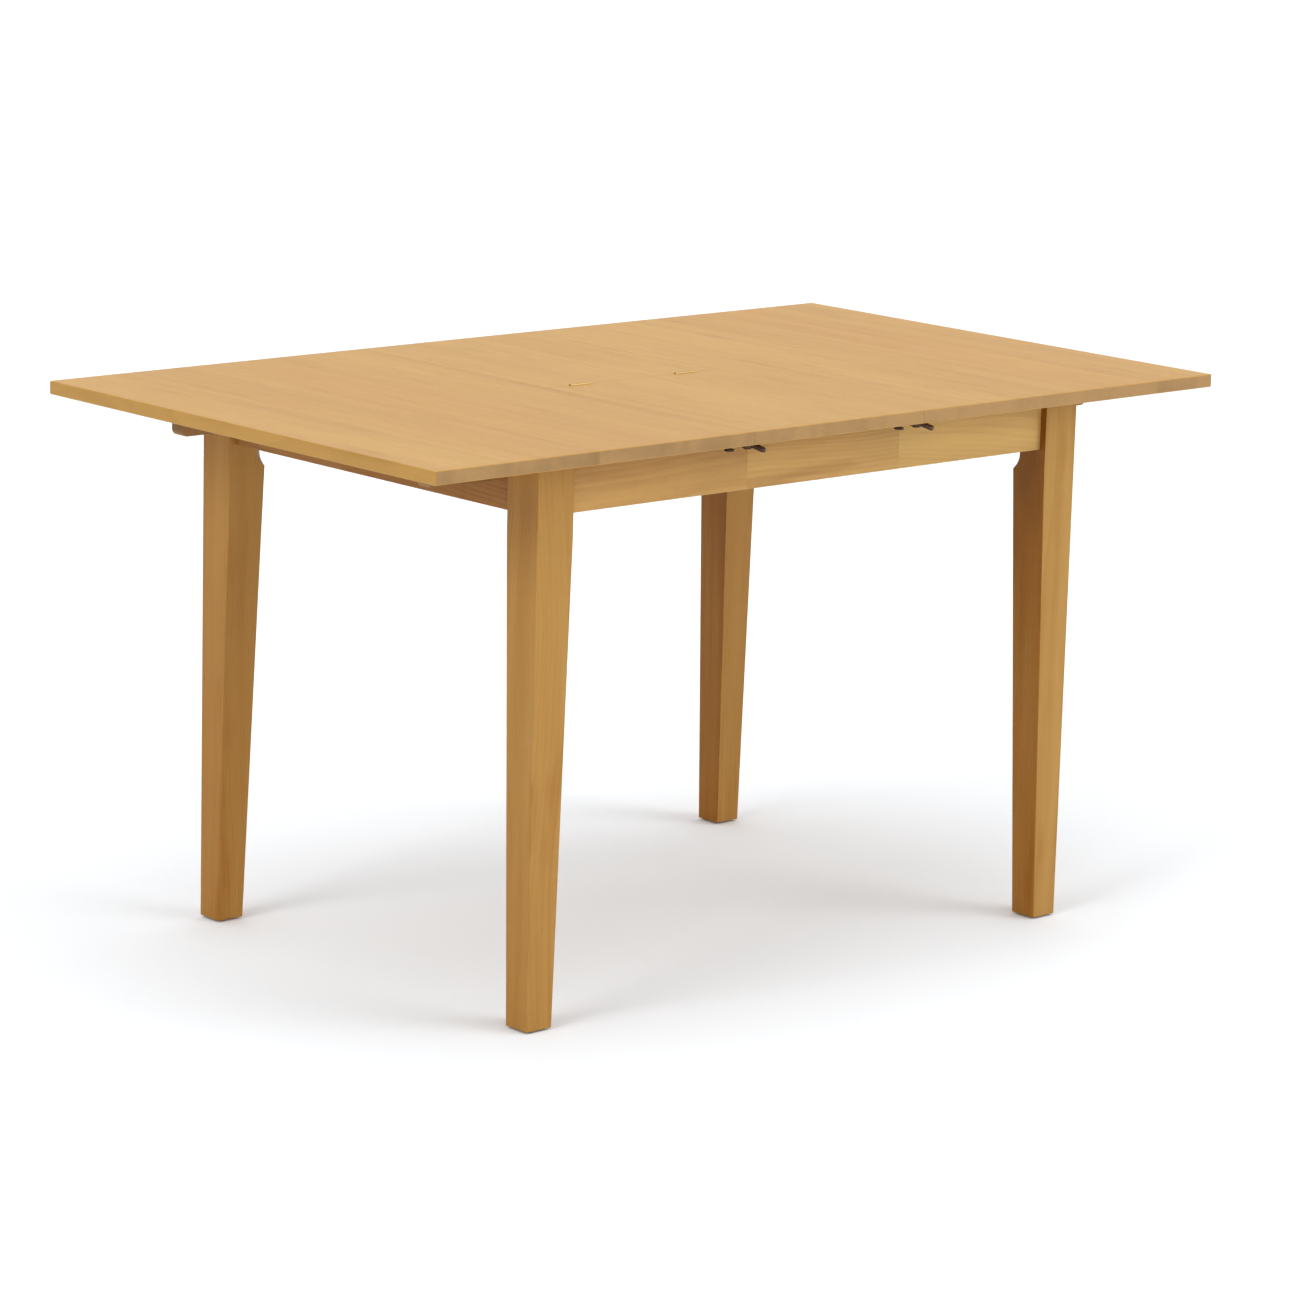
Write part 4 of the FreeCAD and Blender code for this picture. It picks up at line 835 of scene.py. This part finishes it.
class TABLE_OT_make_leg_bolts(bpy.types.Operator):
    """Makes the hanger bolts and their nuts, which pull the legs into their corners"""

    bl_idname = "table.make_leg_bolts"
    bl_label = "Make the leg bolts and nuts"

    def execute(self, context):
        plated = zinc("zinc_bolts", context.scene.table_metal.zinc)
        pitch = context.scene.table_fasteners.bolt_pitch
        bolts, nuts = bmesh.new(), bmesh.new()
        for solid in solids("hanger_bolts"):
            crown, facing, length = self.seat(solid)
            bolt = self.bolt(length, pitch)
            stand(bolt, crown, facing)
            join(bolts, bolt)
        for solid in solids("hanger_nuts"):
            crown, facing, thick = self.seat(solid)
            nut = self.nut(thick)
            stand(nut, crown, facing, self.corner_turn(solid, facing))
            join(nuts, nut)
        finished(bolts, "hanger_bolts", plated, "frame")
        finished(nuts, "hanger_nuts", plated, "frame")
        return {"FINISHED"}

    def seat(self, solid):
        """The middle of a fastener's crown, the way inwards that it faces, and its length."""
        middle = solid_middle(solid)
        facing = Vector((-math.copysign(1, middle.x), -math.copysign(1, middle.y), 0)).normalized()
        reach = [p.dot(facing) for p in solid]
        return middle + facing * (max(reach) - middle.dot(facing)), facing, max(reach) - min(reach)

    def corner_turn(self, solid, facing):
        """How far a nut is turned about its bolt, from one with a corner straight up."""
        middle = solid_middle(solid)
        upright = facing.to_track_quat("Z", "Y").inverted()
        flat = [(upright @ (p - middle)).xy for p in solid]
        corner = max(flat, key=lambda p: p.length)
        return math.atan2(corner.y, corner.x) - math.pi / 2

    def bolt(self, length, pitch):
        """A bolt with a machine thread at its head and a wood thread at its point."""
        # radii
        outside, machine_core, wood_core, point = 0.004, 0.0034, 0.0028, 0.0004
        # heights, from the crown down
        bevel_end, machine_end, plain_start, plain_end, wood_start = -0.0007, -0.019, -0.0195, -0.024, -0.0245
        taper_start = 0.007 - length
        wood_pitch = 0.0026
        shape = bmesh.new()
        bmesh.ops.create_circle(shape, segments=20, radius=wood_core, cap_ends=True)
        edge = [e for e in shape.edges if e.is_boundary]
        tip = rings(shape, edge, [(machine_core, bevel_end), (machine_core, machine_end),
                                  (outside, plain_start), (outside, plain_end),
                                  (wood_core, wood_start), (wood_core, taper_start), (point, -length)])
        bmesh.ops.edgeloop_fill(shape, edges=tip)
        thread(shape, machine_core, outside, bevel_end + 0.0001, machine_end, pitch, 16)
        thread(shape, wood_core, outside, wood_start - 0.0001, taper_start - 0.002, wood_pitch, 14)
        return shape

    def nut(self, thick):
        """A hexagon nut, chamfered on both faces."""
        half_across = 0.0065
        corner = half_across / math.cos(math.pi / 6)
        chamfer_start, chamfer_slope = half_across * 0.97, 0.55
        bore, mouth, mouth_depth = 0.0036, 0.0042, 0.0006
        shape = bmesh.new()
        sides = bmesh.ops.create_circle(shape, segments=6, radius=corner)["verts"]
        bmesh.ops.subdivide_edges(shape, edges=list({e for v in sides for e in v.link_edges}), cuts=3)
        outline = list(shape.edges)
        bmesh.ops.create_circle(shape, segments=24, radius=chamfer_start)
        face = [e for e in shape.edges if e not in set(outline)]
        for v in {v for e in outline for v in e.verts}:
            drop = (v.co.xy.length - chamfer_start) * chamfer_slope
            bmesh.ops.translate(shape, vec=(0, 0, -drop), verts=[v])
        bmesh.ops.bridge_loops(shape, edges=outline + face)
        rings(shape, face, [(mouth, 0), (bore, -mouth_depth)])

        # half of the nut is mirrored, and the two halves' open edges are joined
        bmesh.ops.translate(shape, vec=(0, 0, thick / 2), verts=shape.verts)
        bmesh.ops.mirror(shape, geom=[*shape.verts, *shape.edges, *shape.faces], axis="Z", merge_dist=-1)
        open_edges = [e for e in shape.edges if e.is_boundary]
        outer = [e for e in open_edges if min(v.co.xy.length for v in e.verts) > chamfer_start]
        inner = [e for e in open_edges if max(v.co.xy.length for v in e.verts) < chamfer_start]
        bmesh.ops.bridge_loops(shape, edges=outer)
        bmesh.ops.bridge_loops(shape, edges=inner)
        bmesh.ops.translate(shape, vec=(0, 0, -thick / 2), verts=shape.verts)
        return shape


class TABLE_OT_make_glides(bpy.types.Operator):
    """Makes the nylon foot glides on their nails"""

    bl_idname = "table.make_glides"
    bl_label = "Make the foot glides"

    def execute(self, context):
        whole = bmesh.new()
        for solid in solids("foot_glides"):
            middle = solid_middle(solid)
            glide = self.glide(max(p.z for p in solid))
            bmesh.ops.translate(glide, vec=(middle.x, middle.y, 0), verts=glide.verts)
            join(whole, glide)
        finished(whole, "foot_glides", nylon("nylon_glides", context.scene.table_soft.nylon), "frame")
        return {"FINISHED"}

    def glide(self, top):
        """A round glide with a soft rim, on a pointed nail that reaches up to a height."""
        radius, thick, nail, point = 0.013, 0.0025, 0.0015, 0.003
        rim = [(0.0100, 0), (0.0114, 0.0002), (0.0125, 0.0009), (radius, 0.0018)]
        profile = [(0, 0), *rim, (radius, thick), (nail, thick), (nail, top - point), (0, top)]
        shape = bmesh.new()
        corners = [shape.verts.new((out, 0, height)) for out, height in profile]
        chain = [shape.edges.new(pair) for pair in zip(corners, corners[1:])]
        bmesh.ops.spin(shape, geom=corners + chain, cent=(0, 0, 0), axis=(0, 0, 1), angle=2 * math.pi,
                       steps=32, use_merge=True)
        bmesh.ops.remove_doubles(shape, verts=shape.verts, dist=1e-7)
        return shape


class TABLE_OT_light_studio(bpy.types.Operator):
    """Makes the pale floor, the soft lights and the camera"""

    bl_idname = "table.light_studio"
    bl_label = "Light the studio"

    floor_reach = 30

    # the ways that the two soft lights come from
    from_left = -1, -0.08, 0.53
    from_front = 0.55, -0.83, 0.56

    def execute(self, context):
        studio = context.scene.table_studio
        self.lay_floor(studio.floor_tone)
        context.scene.world = self.bright_room(studio)
        self.soft_light("left_light", self.from_left, studio.left_light, studio.left_spread)
        self.soft_light("front_light", self.from_front, studio.front_light, studio.front_spread)
        context.scene.view_settings.view_transform = "Standard"
        context.scene.camera = self.seat_camera(studio)
        return {"FINISHED"}

    def lay_floor(self, tone):
        """A wide, pale floor, cool enough to cancel the wood's warm light on it."""
        shape = bmesh.new()
        bmesh.ops.create_grid(shape, x_segments=1, y_segments=1, size=self.floor_reach)
        mesh = bpy.data.meshes.new("floor")
        shape.to_mesh(mesh)
        shape.free()
        floor = bpy.data.objects.new("floor", mesh)
        bpy.context.scene.collection.objects.link(floor)
        mesh.materials.append(Finish("studio_floor").done({
            "Base Color": dimmed((0.955, 0.995, 1.035), tone),
            "Roughness": 0.9,
            "Specular IOR Level": 0.1,
        }))

    def bright_room(self, studio):
        """A world that looks white and lights the table from overhead, from behind and, dimly, in front."""
        world = bpy.data.worlds.new("studio")
        world.use_nodes = True
        nodes = Nodes(world.node_tree)
        x, y, z = nodes.node("ShaderNodeTexCoord").parts()
        level = 1 - abs(z).ease(0.3, 0.75)
        behind = (x * 0.67 + y * 0.74).ease(0.2, 0.8) * level
        in_front = (x * 0.15 - y * 0.98).ease(0.2, 0.9) * level
        glow = (studio.surroundings + z.ease(0.5, 0.95) * studio.overhead + behind * studio.backdrop
                + in_front * studio.front_fill)
        seen = nodes.node("ShaderNodeLightPath").out("Is Camera Ray")
        strength = seen + (1 - seen) * glow
        air = nodes.node("ShaderNodeBackground", {}, {"Color": (1, 1, 1), "Strength": strength})
        nodes.node("ShaderNodeOutputWorld", {}, {"Surface": air})
        return world

    def soft_light(self, name, way, strength, spread):
        """A wide, far light that comes from a way."""
        light = bpy.data.lights.new(name, "SUN")
        light.energy = strength
        light.angle = spread
        lamp = bpy.data.objects.new(name, light)
        bpy.context.scene.collection.objects.link(lamp)
        lamp.location = way
        lamp.rotation_euler = Vector(way).to_track_quat("Z", "Y").to_euler()

    def seat_camera(self, studio):
        """The camera in its place, turned, dipped and rolled."""
        camera = bpy.data.cameras.new("camera")
        camera.lens = studio.lens
        camera.sensor_width = 36
        camera.clip_end = 100
        seat = bpy.data.objects.new("camera", camera)
        bpy.context.scene.collection.objects.link(seat)
        seat.matrix_world = (Matrix.Translation(studio.camera_place)
                             @ Matrix.Rotation(-studio.camera_turn, 4, "Z")
                             @ Matrix.Rotation(math.pi / 2 - studio.camera_dip, 4, "X")
                             @ Matrix.Rotation(studio.camera_roll, 4, "Z"))
        return seat


class TABLE_PT_table(bpy.types.Panel):
    """Lists the table's settings and the steps that make it"""

    bl_label = "Butterfly Leaf Table"
    bl_space_type = "VIEW_3D"
    bl_region_type = "UI"
    bl_category = "Table"

    def draw(self, context):
        for name in SETTINGS:
            box = self.layout.box()
            settings = getattr(context.scene, name)
            for setting in settings.__annotations__:
                box.prop(settings, setting)
        for step in STEPS:
            self.layout.operator(step.bl_idname)


# ---------------------------------------------------------------- registration


SETTINGS = {
    "table_wood": WoodSettings,
    "table_metal": MetalSettings,
    "table_soft": SoftSettings,
    "table_fasteners": FastenerSettings,
    "table_studio": StudioSettings,
}

STEPS = [
    TABLE_OT_finish_top,
    TABLE_OT_finish_frame,
    TABLE_OT_finish_rails,
    TABLE_OT_finish_metal,
    TABLE_OT_make_screws,
    TABLE_OT_make_leg_bolts,
    TABLE_OT_make_glides,
    TABLE_OT_light_studio,
]


def register():
    for name, group in SETTINGS.items():
        bpy.utils.register_class(group)
        setattr(bpy.types.Scene, name, bpy.props.PointerProperty(type=group))
    for operator in STEPS:
        bpy.utils.register_class(operator)
    bpy.utils.register_class(TABLE_PT_table)


def unregister():
    bpy.utils.unregister_class(TABLE_PT_table)
    for operator in reversed(STEPS):
        bpy.utils.unregister_class(operator)
    for name, group in reversed(SETTINGS.items()):
        delattr(bpy.types.Scene, name)
        bpy.utils.unregister_class(group)


def main():
    register()
    bpy.ops.table.finish_top()
    bpy.ops.table.finish_frame()
    bpy.ops.table.finish_rails()
    bpy.ops.table.finish_metal()
    bpy.ops.table.make_screws()
    bpy.ops.table.make_leg_bolts()
    bpy.ops.table.make_glides()
    bpy.ops.table.light_studio()


if __name__ == "__main__":
    main()
